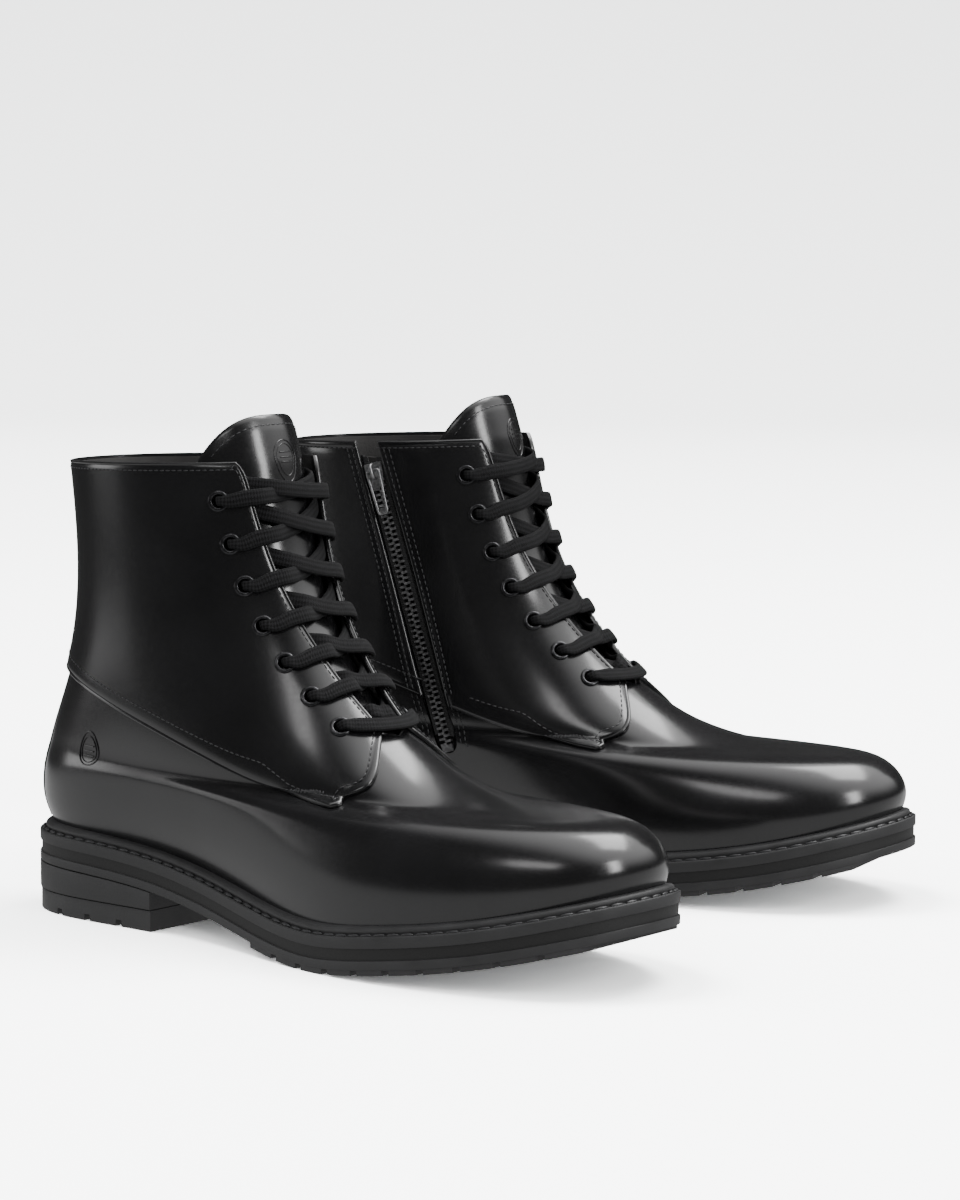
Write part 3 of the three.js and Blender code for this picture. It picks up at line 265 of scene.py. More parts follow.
def last_point(phi, v):
    """Points on the outside of the last, in millimetres, y outwards."""
    phi, v = np.broadcast_arrays(np.asarray(phi, float), np.asarray(v, float))
    loop = loop_at(np.minimum(v, 1))
    back_x, back_z, front_x, front_z, back_nose, front_nose = (loop[..., k] for k in range(6))
    r = (1 - np.cos(phi)) / 2
    length = np.hypot(front_x - back_x, front_z - back_z)
    lateral = np.sin(phi) >= 0
    share = station_share(r)
    half = np.where(lateral, (loop[..., 6:10] * share).sum(-1), (loop[..., 10:14] * share).sum(-1))
    width = half * np.sqrt(1 - np.exp(-2 * back_nose * r * length / half**2))
    width = width * np.sqrt(1 - np.exp(-2 * front_nose * (1 - r) * length / half**2))
    x = back_x + (front_x - back_x) * r
    follow = (1 - np.clip(v / SOLE_BLEND, 0, 1)) ** 3
    sole_line = LOOPS[0, 2] + (LOOPS[0, 4] - LOOPS[0, 2]) * r
    z = back_z + (front_z - back_z) * r + follow * (feather(x) - sole_line)
    rise = np.maximum(v - 1, 0) * COLLAR_RISE
    return np.stack([x + rise * TONGUE_LEAN, np.where(lateral, width, -width), z + rise], -1)


def unit(vectors):
    return vectors / np.maximum(np.linalg.norm(vectors, axis=-1, keepdims=True), 1e-9)


def last_normal(phi, v, step=0.004):
    around = last_point(phi + step, v) - last_point(phi - step, v)
    upward = last_point(phi, v + step) - last_point(phi, v - step)
    return unit(np.cross(upward, around))


def last_upward(phi, v, step=0.004):
    return unit(last_point(phi, v + step) - last_point(phi, v - step))


def off_last(phi, v, off):
    return last_point(phi, v) + last_normal(phi, v) * np.asarray(off, float)[..., None]


def in_pair(points, side):
    """Boot millimetres to metres in the pair; side is 1 for the left boot and -1 for the right."""
    p = np.asarray(points, float)
    x = p[..., 0] - TURN_POINT
    y = side * p[..., 1]
    c, s = math.cos(side * TOE_OUT), math.sin(side * TOE_OUT)
    out = [x * c - y * s + PAIR_SHIFT, x * s + y * c + side * BOOT_SPACING / 2, p[..., 2]]
    return np.stack(out, -1) * MM


SIDES = {"left": 1, "right": -1}


def solid(name, points, faces, side, material, uv=None, sharp=35):
    """A closed piece of one boot from points in boot millimetres."""
    mesh = bpy.data.meshes.new(name)
    mesh.from_pydata(in_pair(points, side).tolist(), [], [tuple(f) for f in faces])
    if uv is not None:
        layer = mesh.uv_layers.new(name="UVMap")
        corner = np.empty(len(mesh.loops), dtype=np.int32)
        mesh.loops.foreach_get("vertex_index", corner)
        layer.data.foreach_set("uv", (np.asarray(uv, float) * MM)[corner].ravel().astype(np.float32))
    shape = bmesh.new()
    shape.from_mesh(mesh)
    bmesh.ops.remove_doubles(shape, verts=shape.verts, dist=2e-6)
    bmesh.ops.recalc_face_normals(shape, faces=shape.faces)
    if shape.calc_volume(signed=True) < 0:
        bmesh.ops.reverse_faces(shape, faces=shape.faces)
    shape.to_mesh(mesh)
    shape.free()
    mesh.shade_smooth()
    mesh.set_sharp_from_angle(angle=math.radians(sharp))
    mesh.materials.append(material)
    piece = bpy.data.objects.new(name, mesh)
    bpy.context.scene.collection.objects.link(piece)
    return piece


def grid_faces(rows, cols, start=0, flip=False, close_cols=False):
    faces = []
    for i in range(rows - 1):
        for j in range(cols if close_cols else cols - 1):
            k = (j + 1) % cols
            here, after = start + i * cols, start + (i + 1) * cols
            quad = [here + j, after + j, after + k, here + k]
            faces.append(quad[::-1] if flip else quad)
    return faces


def prism_faces(n):
    """Two ends and the sides between two rings of n points."""
    sides = [(i, i + n, (i + 1) % n + n, (i + 1) % n) for i in range(n)]
    return [tuple(range(n)), tuple(range(2 * n - 1, n - 1, -1)), *sides]


def full_turn(count):
    return np.linspace(0, 2 * math.pi, count + 1)[:-1]


def shell(outer, inner):
    """Points and faces of a closed sheet between two grids of the same size."""
    rows, cols = outer.shape[:2]
    n = rows * cols
    faces = grid_faces(rows, cols) + grid_faces(rows, cols, n, True)
    rim = [(i, 0) for i in range(rows)] + [(rows - 1, j) for j in range(1, cols)]
    rim += [(i, cols - 1) for i in range(rows - 2, -1, -1)] + [(0, j) for j in range(cols - 2, 0, -1)]
    for (a, b), (c, d) in zip(rim, rim[1:] + rim[:1]):
        p, q = a * cols + b, c * cols + d
        faces.append((p, p + n, q + n, q))
    return np.concatenate([outer.reshape(-1, 3), inner.reshape(-1, 3)]), faces


def eased(count, length, margin=3.0):
    """Places 0..1 along an edge of that many millimetres, closer together near both ends."""
    near = np.array([0, 0.15, 0.4, 0.8, 1.3, 1.9, 2.4, margin]) / length
    middle = np.linspace(near[-1], 1 - near[-1], count)
    return np.concatenate([near[:-1], middle, 1 - near[:-1][::-1]])


def rolled(edge_distance, outer, thick, radius=0.9):
    """Height of a leather face whose edge is rolled over, by its distance to the edge."""
    radius = min(radius, thick * 0.75)
    inside = np.clip(radius - edge_distance, 0, radius)
    return outer - radius + np.sqrt(np.maximum(radius**2 - inside**2, 0))


def leather_sheet(name, side, chart, size, counts, inner, outer, material, edges, dents):
    """Leather laid on the last. chart(u, t) gives phi and v, size its rough millimetres, counts its
    cells, edges the sides that are rolled, dents(phi, v) how far the face is pressed in."""
    u = eased(counts[0], size[0])[:, None]
    t = eased(counts[1], size[1])[None, :]
    u, t = np.broadcast_arrays(u, t)
    phi, v = chart(u, t)
    far = np.full(u.shape, 1e3)
    distances = {"l": u * size[0], "r": (1 - u) * size[0], "b": t * size[1], "t": (1 - t) * size[1]}
    for key in edges:
        far = np.minimum(far, distances[key])
    height = rolled(far, outer, outer - inner) - dents(phi, v, far)
    points, faces = shell(off_last(phi, v, height), off_last(phi, v, inner))
    flat = np.stack([u * size[0], t * size[1]], -1).reshape(-1, 2)
    return solid(name, points, faces, side, material, np.concatenate([flat, flat]))


def noise(tree, scale, detail, place):
    values = {"Scale": scale, "Detail": detail, "Vector": place}
    return add_node(tree, "ShaderNodeTexNoise", values).outputs["Fac"]


def mixed(tree, factor, first, second):
    values = {"A": first, "B": second, "Factor": factor}
    return add_node(tree, "ShaderNodeMix", values, data_type="RGBA").outputs["Result"]


def bumped(tree, height, strength, depth, after=None):
    values = {"Strength": strength, "Distance": depth, "Height": height}
    if after is not None:
        values["Normal"] = after
    return add_node(tree, "ShaderNodeBump", values).outputs["Normal"]


def tone(level, blue):
    """A near-neutral colour."""
    return level, level, blue, 1


def mottled(name, dark, light, cloud, span=(0.3, 0.7), rough=0.6, metallic=0.0, grain=None, bump=None):
    """A finish that drifts between two colours. cloud and grain are scale and detail, bump is strength
    and depth, rough is one value or the two ends of a range."""
    made, tree, shader = node_material(name)
    place = place_of(tree)
    drift = noise(tree, *cloud, place)
    values = {"Base Color": mixed(tree, ranged(tree, drift, 0, 1, *span), dark, light), "Metallic": metallic}
    values["Roughness"] = ranged(tree, drift, *rough) if isinstance(rough, tuple) else rough
    if bump:
        values["Normal"] = bumped(tree, noise(tree, *grain, place) if grain else drift, *bump)
    feed(tree, shader, values)
    return made


def polished_leather(name):
    """Smooth leather: fine grain, soft unevenness from the last, uneven polish."""
    made, tree, shader = node_material(name)
    place = place_of(tree)
    cloud, fine, wide = (noise(tree, *size, place) for size in ((28, 3), (700, 4), (45, 2)))
    swell = bumped(tree, wide, 0.05, 0.0016)
    feed(tree, shader, {
        "Base Color": mixed(tree, ranged(tree, cloud, 0, 1), tone(0.004, 0.0043), tone(0.0076, 0.00817)),
        "Roughness": ranged(tree, fine, 0.2, 0.27), "Normal": bumped(tree, fine, 0.012, 0.0003, swell),
        "Coat Weight": 0.5, "Coat Roughness": 0.17, "Specular IOR Level": 0.5,
    })
    return made


UPPER_LEATHER = polished_leather("polished_black_leather")
VAMP_THICK = 1.6
VAMP_RISE = 70
throat = line([
    (0, 0.665), (0.66, 0.65), (1.25, 0.6), (1.53, 0.55), (1.75, 0.43), (1.9, 0.36), (2.05, 0.425),
    (2.24, 0.475), (2.5, 0.545), (2.62, 0.565), (2.75, 0.59), (math.pi, 0.597),
])
ZIP_LEAN = 0.3
ZIP_AT_TOP = 71.5
ZIP_REF = 177
ZIP_TOP = 166
ZIP_FOOT = 58
ZIP_DEPTH = 35.6
ZIP_SLOT_FOOT = 54
ZIP_OPENING = 10.6
ZIP_STRETCH = math.hypot(1, ZIP_LEAN)


def zip_x(z):
    return ZIP_AT_TOP + (ZIP_REF - z) * ZIP_LEAN


def zip_place(points):
    """Points across the zip (to the heel), outwards and along it, as boot millimetres."""
    p = np.asarray(points, float)
    run = np.array([-ZIP_LEAN, 0, 1]) / ZIP_STRETCH
    across_zip = np.array([-1, 0, -ZIP_LEAN]) / ZIP_STRETCH
    origin = np.array([zip_x(ZIP_TOP), -ZIP_DEPTH, ZIP_TOP])
    return origin + p[..., :1] * across_zip + p[..., 1:2] * np.array([0, -1, 0]) + p[..., 2:3] * run


def zip_phi(v, ahead):
    """phi of the place at height v that lies so many millimetres in front of the zip line."""
    v = np.asarray(v, float)
    low, high = np.full(v.shape, 0.4), np.full(v.shape, 2.7)
    for _ in range(36):
        middle = (low + high) / 2
        place = last_point(-middle, v)
        short = place[..., 0] < zip_x(place[..., 2]) + ahead
        low = np.where(short, middle, low)
        high = np.where(short, high, middle)
    return -(low + high) / 2


def baked(piece):
    """Turns a piece and its modifiers into one plain mesh."""
    plain = bpy.data.meshes.new_from_object(piece.evaluated_get(bpy.context.evaluated_depsgraph_get()))
    piece.modifiers.clear()
    old = piece.data
    piece.data = plain
    plain.name = piece.name
    bpy.data.meshes.remove(old)


def cut_away(piece, cutters):
    """Takes closed cutter meshes off a piece."""
    for cutter in cutters:
        step = piece.modifiers.new("cut", "BOOLEAN")
        step.operation = "DIFFERENCE"
        step.solver = "EXACT"
        step.object = cutter
    baked(piece)
    for cutter in cutters:
        bpy.data.objects.remove(cutter)
    piece.data.set_sharp_from_angle(angle=math.radians(35))


def zip_slot_cutter(side, half):
    """A long block with a rounded foot, as wide as the zip opening."""
    depth = (ZIP_TOP - ZIP_SLOT_FOOT) * ZIP_STRETCH
    foot = np.linspace(math.pi, 2 * math.pi, 13)
    bow = [(half * math.cos(a), -depth + half + half * math.sin(a)) for a in foot]
    ring = [(-half, 60), *bow, (half, 60)]
    points = [(x, y, z) for y in (-14, 14) for x, z in ring]
    return solid("slot_cutter", zip_place(points), prism_faces(len(ring)), side, UPPER_LEATHER)


def vamp_chart(u, t):
    phi = 2 * math.pi * u - 0.2 * np.sin(4 * math.pi * u)
    fold = np.minimum(phi, 2 * math.pi - phi)
    return phi, throat(np.clip(fold, 0, math.pi)) * t


def flex_lines(phi, v):
    """Shallow folds across the vamp where the foot bends."""
    place = last_point(phi, v)
    fold = np.minimum(phi, 2 * math.pi - phi)
    band = np.exp(-(((place[..., 0] - 196) / 22) ** 2)) * np.clip((fold - 2.0) / 0.8, 0, 1)
    wave = np.sin(place[..., 0] / 5.2 + 0.02 * place[..., 1] ** 2 / 10)
    return 0.1 * band * wave


for boot, side in SIDES.items():
    u = np.linspace(0, 1, 421)[:, None]
    t = eased(46, VAMP_RISE)[None, :]
    u, t = np.broadcast_arrays(u, t)
    phi, v = vamp_chart(u, t)
    height = rolled((1 - t) * VAMP_RISE, 0, VAMP_THICK) - flex_lines(phi, v)
    outer, inner = off_last(phi, v, height)[:-1], off_last(phi, v, -VAMP_THICK)[:-1]
    rows, cols = outer.shape[:2]
    n = rows * cols
    ring_faces = []
    for i in range(rows):
        k = (i + 1) % rows
        for j in range(cols - 1):
            a, b, c, d = i * cols + j, k * cols + j, k * cols + j + 1, i * cols + j + 1
            ring_faces += [(a, b, c, d), (a + n, d + n, c + n, b + n)]
        for j in (0, cols - 1):
            ring_faces.append((i * cols + j, k * cols + j, k * cols + j + n, i * cols + j + n))
    points = np.concatenate([outer.reshape(-1, 3), inner.reshape(-1, 3)])
    vamp = solid(f"{boot}_vamp_leather", points, ring_faces, side, UPPER_LEATHER)
    cut_away(vamp, [zip_slot_cutter(side, ZIP_OPENING / 2)])
    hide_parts(f"{boot}_vamp")
    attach(vamp, f"{boot}_boot")

# ---- quarters: the upper part of the upper ----
# One piece outside and two inside, either side of the zip, of the same leather. Their lower edge is
# lapped over the vamp, and their front edges are the facings that carry the eyelets.
QUARTER_INNER = 0.3
QUARTER_OUTER = 1.9
SEAM_END = 1.88
quarter_seam = line([
    (0, 0.615), (0.66, 0.6), (1.25, 0.55), (1.53, 0.5), (1.7, 0.42), (1.8, 0.335), (1.9, 0.3),
])
TAB = [(1.88, 0.31), (1.95, 0.345), (2.05, 0.4), (2.4, 0.49), (2.71, 0.56), (2.86, 0.589), (2.93, 0.602)]
FACING = [
    (2.95, 0.612), (2.945, 0.63), (2.92, 0.655), (2.87, 0.705), (2.77, 0.795), (2.67, 0.89), (2.61, 0.95),
]
FACING_CORNER = [(2.59, 0.972), (2.555, 0.99), (2.5, 1)]
FACING_TOP = 2.5
GROOVE_DEPTH = 0.28
EDGE_ROW = 2.5


def evened(path, count):
    """count + 1 chart places evenly spaced in millimetres along a path of chart places."""
    path = np.asarray(path, float)
    place = last_point(path[:, 0], path[:, 1])
    walk = np.concatenate([[0], np.cumsum(np.linalg.norm(np.diff(place, axis=0), axis=1))])
    at = np.linspace(0, walk[-1], count + 1)
    return np.stack([np.interp(at, walk, path[:, k]) for k in (0, 1)], -1), walk[-1]


def smooth_run(points, count=40):
    return natural_spline(np.arange(len(points)), points)(np.linspace(0, len(points) - 1, count))


corner_run = smooth_run([FACING[-1], *FACING_CORNER], 12)[1:]
front_edge = np.concatenate([smooth_run(TAB), smooth_run(FACING), corner_run])
front_path, FRONT_LENGTH = evened(front_edge, 400)


def along_front(t):
    at = np.linspace(0, 1, len(front_path))
    return np.stack([np.interp(t, at, front_path[:, k]) for k in (0, 1)], -1)


def coons(bottom, top, back, front):
    """Chart spread between four edges, each a function to phi and v."""
    def chart(u, t):
        a, b, c, d = bottom(u), top(u), back(t), front(t)
        uu, tt = u[..., None], t[..., None]
        ruled = a * (1 - tt) + b * tt + c * (1 - uu) + d * uu
        zero, one = np.zeros(1), np.ones(1)
        low = back(zero)[0] * (1 - uu) + front(zero)[0] * uu
        high = back(one)[0] * (1 - uu) + front(one)[0] * uu
        spread = ruled - low * (1 - tt) - high * tt
        return spread[..., 0], spread[..., 1]
    return chart


def pairs(phi, v):
    return np.stack(np.broadcast_arrays(phi, v), -1)


def edge_groove(phi, v, far):
    return GROOVE_DEPTH * np.exp(-(((far - EDGE_ROW) / 0.6) ** 2))


def lateral_chart():
    back_v = quarter_seam(0.0)
    return coons(
        lambda u: pairs(SEAM_END * u, quarter_seam(SEAM_END * u)),
        lambda u: pairs(FACING_TOP * u, 1.0),
        lambda t: pairs(0.003, back_v + (1 - back_v) * t),
        along_front,
    )


def medial_front_chart():
    foot = float(zip_phi(quarter_seam(1.5), ZIP_OPENING / 2))
    foot_v = float(quarter_seam(-foot))
    top_phi = float(zip_phi(1.0, ZIP_OPENING / 2))
    return coons(
        lambda u: pairs(foot + (-SEAM_END - foot) * u, quarter_seam(-(foot + (-SEAM_END - foot) * u))),
        lambda u: pairs(top_phi + (-FACING_TOP - top_phi) * u, 1.0),
        lambda t: pairs(zip_phi(foot_v + (1 - foot_v) * t, ZIP_OPENING / 2), foot_v + (1 - foot_v) * t),
        lambda t: along_front(t) * np.array([-1, 1]),
    )


def medial_rear_chart():
    foot = float(zip_phi(quarter_seam(1.4), -ZIP_OPENING / 2))
    foot_v = float(quarter_seam(-foot))
    top_phi = float(zip_phi(1.0, -ZIP_OPENING / 2))
    back_v = quarter_seam(0.0)
    return coons(
        lambda u: pairs(foot * u, quarter_seam(-foot * u)),
        lambda u: pairs(top_phi * u, 1.0),
        lambda t: pairs(-0.003, back_v + (1 - back_v) * t),
        lambda t: pairs(zip_phi(foot_v + (1 - foot_v) * t, -ZIP_OPENING / 2), foot_v + (1 - foot_v) * t),
    )


EYELETS = 7
EYELET_BORE = 5
EYELET_RIM = 8.4
eyelet_line = line([(0.605, 2.61), (0.7, 2.49), (0.82, 2.4), (0.95, 2.31)])
EYELET_SPAN = (0.95, 0.605)
eyelet_path = [(eyelet_line(v), v) for v in np.linspace(*EYELET_SPAN, 80)]
eyelet_rows, _ = evened(eyelet_path, EYELETS - 1)


def eyelet_frame(k, medial, height):
    """Middle, across, up and outward directions of an eyelet on its facing."""
    phi, v = eyelet_rows[k]
    phi = -phi if medial else phi
    out = last_normal(phi, v)
    across = unit(np.cross(last_upward(phi, v), out))
    return off_last(phi, v, height), across, np.cross(out, across), out


def punched(piece, side, medial):
    """Round holes through a facing, under the eyelets."""
    turns = full_turn(24)
    cutters = []
    for k in range(EYELETS):
        middle, across, up, out = eyelet_frame(k, medial, 1)
        spokes = np.cos(turns)[:, None] * across + np.sin(turns)[:, None] * up
        rings = [middle + (EYELET_BORE / 2 + 0.4) * spokes + out * depth for depth in (-4, 4)]
        points = np.concatenate(rings)
        cutters.append(solid("punch", points, prism_faces(len(turns)), side, UPPER_LEATHER))
    cut_away(piece, cutters)


for boot, side in SIDES.items():
    for node, chart, size, counts in (
        ("quarter_lateral", lateral_chart(), (170, FRONT_LENGTH), (80, 90)),
        ("quarter_medial_front", medial_front_chart(), (62, FRONT_LENGTH), (30, 90)),
        ("quarter_medial_rear", medial_rear_chart(), (75, 95), (36, 44)),
    ):
        edges = "rbt" if node != "quarter_medial_front" else "lrbt"
        quarter = leather_sheet(
            f"{boot}_{node}_leather", side, chart, size, counts, QUARTER_INNER, QUARTER_OUTER,
            UPPER_LEATHER, edges, edge_groove,
        )
        if node != "quarter_medial_rear":
            punched(quarter, side, node == "quarter_medial_front")
        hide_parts(f"{boot}_{node}")
        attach(quarter, f"{boot}_boot")

# ---- strip up the back seam ----
# A narrow strip of cross-ribbed black leather sewn over the heel seam, from the welt to the quarters.
STRIP_HALF = 0.24
STRIP_OUTER = 1.6
STRIP_FOOT = 0.012
ribbed, ribbed_tree, ribbed_shader = node_material("ribbed_black_leather")
ribbed_place = place_of(ribbed_tree)
rib_cells = add_node(ribbed_tree, "ShaderNodeTexVoronoi", {"Scale": 620, "Vector": ribbed_place})
feed(ribbed_tree, ribbed_shader, {
    "Base Color": tone(0.014, 0.015),
    "Roughness": ranged(ribbed_tree, noise(ribbed_tree, 900, 3, ribbed_place), 0.4, 0.6),
    "Normal": bumped(ribbed_tree, rib_cells.outputs["Distance"], 0.9, 0.0006),
})


def strip_chart(u, t):
    top = quarter_seam(0.0) - 0.006
    return (u * 2 - 1) * STRIP_HALF, STRIP_FOOT + (top - STRIP_FOOT) * t


for boot, side in SIDES.items():
    strip = leather_sheet(
        f"{boot}_back_strip", side, strip_chart, (17, 66), (10, 40), 0.15, STRIP_OUTER, ribbed, "lr",
        lambda phi, v, far: 0.2 * np.exp(-(((far - 1.9) / 0.5) ** 2)),
    )
    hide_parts(f"{boot}_back_stay")
    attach(strip, f"{boot}_boot")

# ---- tongue ----
# A padded leather tongue under the laces, rounded at the top where it stands above the collar.
TONGUE_OUTER = -4.3
TONGUE_INNER = -8
TONGUE_FOOT = 0.583
TONGUE_TOP = 1 + 19 / COLLAR_RISE
tongue_edge = line([(TONGUE_FOOT, 2.45), (0.7, 2.2), (1, 2.08), (1.15, 2.12)])


def tongue_chart(u, t):
    crown = TONGUE_TOP - 0.11 * np.abs(u * 2 - 1) ** 3
    v = TONGUE_FOOT + (crown - TONGUE_FOOT) * t
    edge = tongue_edge(v)
    return edge + (2 * math.pi - 2 * edge) * u, v


def tongue_sink(phi, v, far):
    """The pad thins towards its sewn edge."""
    return 1.3 * np.exp(-far / 3.0) + 0.3 * np.exp(-(((far - 4.5) / 0.8) ** 2))


for boot, side in SIDES.items():
    tongue = leather_sheet(
        f"{boot}_tongue_pad", side, tongue_chart, (80, 130), (40, 60), TONGUE_INNER, TONGUE_OUTER,
        UPPER_LEATHER, "lrt", tongue_sink,
    )
    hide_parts(f"{boot}_tongue")
    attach(tongue, f"{boot}_boot")

# ---- lining and footbed ----
# Matt black lining leather all round inside, thickened to a soft edge under the collar, and a
# leather-covered footbed on the insole.
LINING_OUTER = -3.3
LINING_INNER = -4.5
LINING_FRONT = 1.92
soft_lining = mottled(
    "matt_lining_leather", (0.017, 0.016, 0.016, 1), (0.028, 0.027, 0.026, 1), (60, 4), rough=0.72,
    grain=(1300, 3), bump=(0.35, 0.0004),
)


def ring_sheet(columns, rows, chart, covers, inner, outer):
    """Points and faces of a sheet on a ring of columns, where covers(i, j) says it has leather."""
    i, j = np.meshgrid(np.arange(columns), np.arange(rows + 1), indexing="ij")
    phi, v = chart(i, j)
    points = np.concatenate([off_last(phi, v, face(phi, v)).reshape(-1, 3) for face in (outer, inner)])
    n = columns * (rows + 1)

    def at(i, j):
        return (i % columns) * (rows + 1) + j

    faces = []
    for i in range(columns):
        for j in range(rows):
            if not covers(i, j):
                continue
            ring = [at(i, j), at(i + 1, j), at(i + 1, j + 1), at(i, j + 1)]
            faces += [tuple(ring), tuple(k + n for k in ring[::-1])]
            for a, (di, dj) in enumerate(((0, -1), (1, 0), (0, 1), (-1, 0))):
                b = (a + 1) % 4
                if not (0 <= j + dj < rows and covers((i + di) % columns, j + dj)):
                    faces.append((ring[a], ring[a] + n, ring[b] + n, ring[b]))
    used = np.unique(np.concatenate([np.array(f) for f in faces]))
    renumber = {old: new for new, old in enumerate(used)}
    return points[used], [tuple(renumber[k] for k in f) for f in faces]


LINING_COLUMNS = 144
LINING_LOW_ROWS = 16
LINING_HIGH_ROWS = 14
LINING_ROWS = LINING_LOW_ROWS + LINING_HIGH_ROWS
LINING_FOOT = 0.01
LINING_TOP = 0.994


def lining_chart(i, j):
    u = i / LINING_COLUMNS
    phi = 2 * math.pi * u - 0.2 * np.sin(4 * math.pi * u)
    fold = np.minimum(phi, 2 * math.pi - phi)
    seam = throat(np.clip(fold, 0, math.pi)) * np.where(fold > LINING_FRONT, 0.965, 1)
    low = LINING_FOOT + (seam - LINING_FOOT) * np.clip(j / LINING_LOW_ROWS, 0, 1)
    high = seam + (LINING_TOP - seam) * (j - LINING_LOW_ROWS) / LINING_HIGH_ROWS
    return phi, np.where(j <= LINING_LOW_ROWS, low, high)


def lining_covers(i, j):
    middle = sum(lining_chart(np.array(k), np.array(j))[0] for k in (i, i + 1)) / 2
    return j < LINING_LOW_ROWS or min(middle, 2 * math.pi - middle) < LINING_FRONT


covered = [[lining_covers(i, j) for j in range(LINING_ROWS)] for i in range(LINING_COLUMNS)]


def collar_fill(phi, v):
    """The lining thickens towards the collar, and its edge is rounded off."""
    fill = (0.2 - LINING_OUTER) * np.clip((v - 0.86) / 0.06, 0, 1) ** 2
    return LINING_OUTER + fill - 0.8 * np.clip((v - 0.985) / 0.009, 0, 1) ** 2


def lining_face(phi, v):
    return LINING_INNER + 0.9 * np.clip((v - 0.982) / 0.012, 0, 1) ** 2


for boot, side in SIDES.items():
    points, faces = ring_sheet(
        LINING_COLUMNS, LINING_ROWS, lining_chart, lambda i, j: covered[i][j], lining_face, collar_fill,
    )
    inside = solid(f"{boot}_lining_leather", points, faces, side, soft_lining)
    cut_away(inside, [zip_slot_cutter(side, ZIP_OPENING / 2 + 8.6)])
    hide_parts(f"{boot}_lining")
    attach(inside, f"{boot}_boot")


def outline(phi, reach, step=0.004):
    """Plan of the feather line, moved outwards."""
    here = last_point(phi, 0)
    ahead = last_point(phi + step, 0) - last_point(phi - step, 0)
    side_way = unit(np.stack([-ahead[..., 1], ahead[..., 0]], -1))
    return here[..., :2] + side_way * np.asarray(reach, float)[..., None]


def phi_at_x(x, reach, hand):
    low, high = 0.02, math.pi - 0.02
    for _ in range(40):
        middle = (low + high) / 2
        if outline(np.array(hand * middle), reach)[0] < x:
            low = middle
        else:
            high = middle
    return hand * (low + high) / 2


def sole_sections(reach, depths, start=None, end=None, rungs=96, rounding=0.0, across=1):
    """Sections of a sole layer from heel to toe. depths gives top and bottom heights from x."""
    edges = []
    for hand in (1, -1):
        first = 0.0 if start is None else phi_at_x(start, reach, hand)
        last = hand * math.pi if end is None else phi_at_x(end, reach, hand)
        angles = first + (last - first) * np.linspace(0, 1, rungs + 1)
        edges.append(outline(angles, reach))
    left_edge, right_edge = edges
    middle = (left_edge + right_edge) / 2
    sections = []
    for a, b, m in zip(left_edge, right_edge, middle):
        half = np.linalg.norm(a - b) / 2
        way = (a - b) / max(2 * half, 1e-9)
        top, bottom = depths(m[0])
        soft = min(rounding, half * 0.9, max((top - bottom) * 0.45, 0))
        flat, bevel, dip = half - soft, half - 0.3 * soft, 0.3 * soft
        ring = [(flat * share, top) for share in np.linspace(1, -1, across + 1)]
        ring += [(-bevel, top - dip), (-half, top - soft), (-half, bottom + soft), (-bevel, bottom + dip)]
        ring += [(-flat, bottom), (flat, bottom), (bevel, bottom + dip), (half, bottom + soft)]
        ring += [(half, top - soft), (bevel, top - dip)]
        sections.append([(*(m + way * far), z) for far, z in ring])
    return np.array(sections)


def lofted(sections, closed=False):
    """Points and faces of a body through rings of points."""
    count, m = sections.shape[:2]
    faces = grid_faces(count, m, close_cols=True)
    if closed:
        last = (count - 1) * m
        faces += [(last + j, j, (j + 1) % m, last + (j + 1) % m) for j in range(m)]
    else:
        faces += [tuple(range(m))[::-1], tuple(range((count - 1) * m, count * m))]
    return sections.reshape(-1, 3), faces


BEAD = 3.3
WELT = 4.7
GAP = 0.3
MIDSOLE = 4
OUTSOLE = 3.6
LUG = 2.1
WELT_REACH = 5.6
BAND_TOP = BEAD + WELT + GAP
OUTSOLE_TOP = BAND_TOP + MIDSOLE + GAP
LUG_ROOT = OUTSOLE_TOP + OUTSOLE

for boot, side in SIDES.items():
    sections = sole_sections(-6.3, lambda x: (feather(x) + 3.2, feather(x) - 0.3), rounding=1.0, across=6)
    lean = np.abs(np.linspace(-1, 1, 7)) ** 2 * 1.2
    sections[:, :7, 2] += lean - 1.0
    footbed = solid(f"{boot}_footbed_cover", *lofted(sections), side, soft_lining)
    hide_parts(f"{boot}_footbed")
    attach(footbed, f"{boot}_boot")

# ---- stiffeners, board, shank and cork ----
# Hidden between upper and lining and under the footbed; they keep their own solids.
plain_finishes = {
    "stiffener": ((0.3, 0.28, 0.24, 1), (0.36, 0.34, 0.3, 1), 0.7, 0, 180, ("heel_counter", "toe_puff")),
    "pressed_board": ((0.3, 0.2, 0.11, 1), (0.42, 0.29, 0.17, 1), 0.85, 0, 420, ("insole_board",)),
    "shank_steel": ((0.3, 0.3, 0.32, 1), (0.45, 0.45, 0.47, 1), 0.35, 1, 260, ("shank",)),
    "ground_cork": ((0.3, 0.19, 0.1, 1), (0.5, 0.34, 0.2, 1), 0.9, 0, 300, ("filler",)),
}
for name, (dark, light, rough, metallic, scale, nodes) in plain_finishes.items():
    finish = mottled(name, dark, light, (scale, 4), rough=rough, metallic=metallic, bump=(0.3, 0.0005))
    for boot in SIDES:
        for node in nodes:
            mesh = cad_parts[f"{boot}_{node}"].data
            mesh.materials.clear()
            mesh.materials.append(finish)

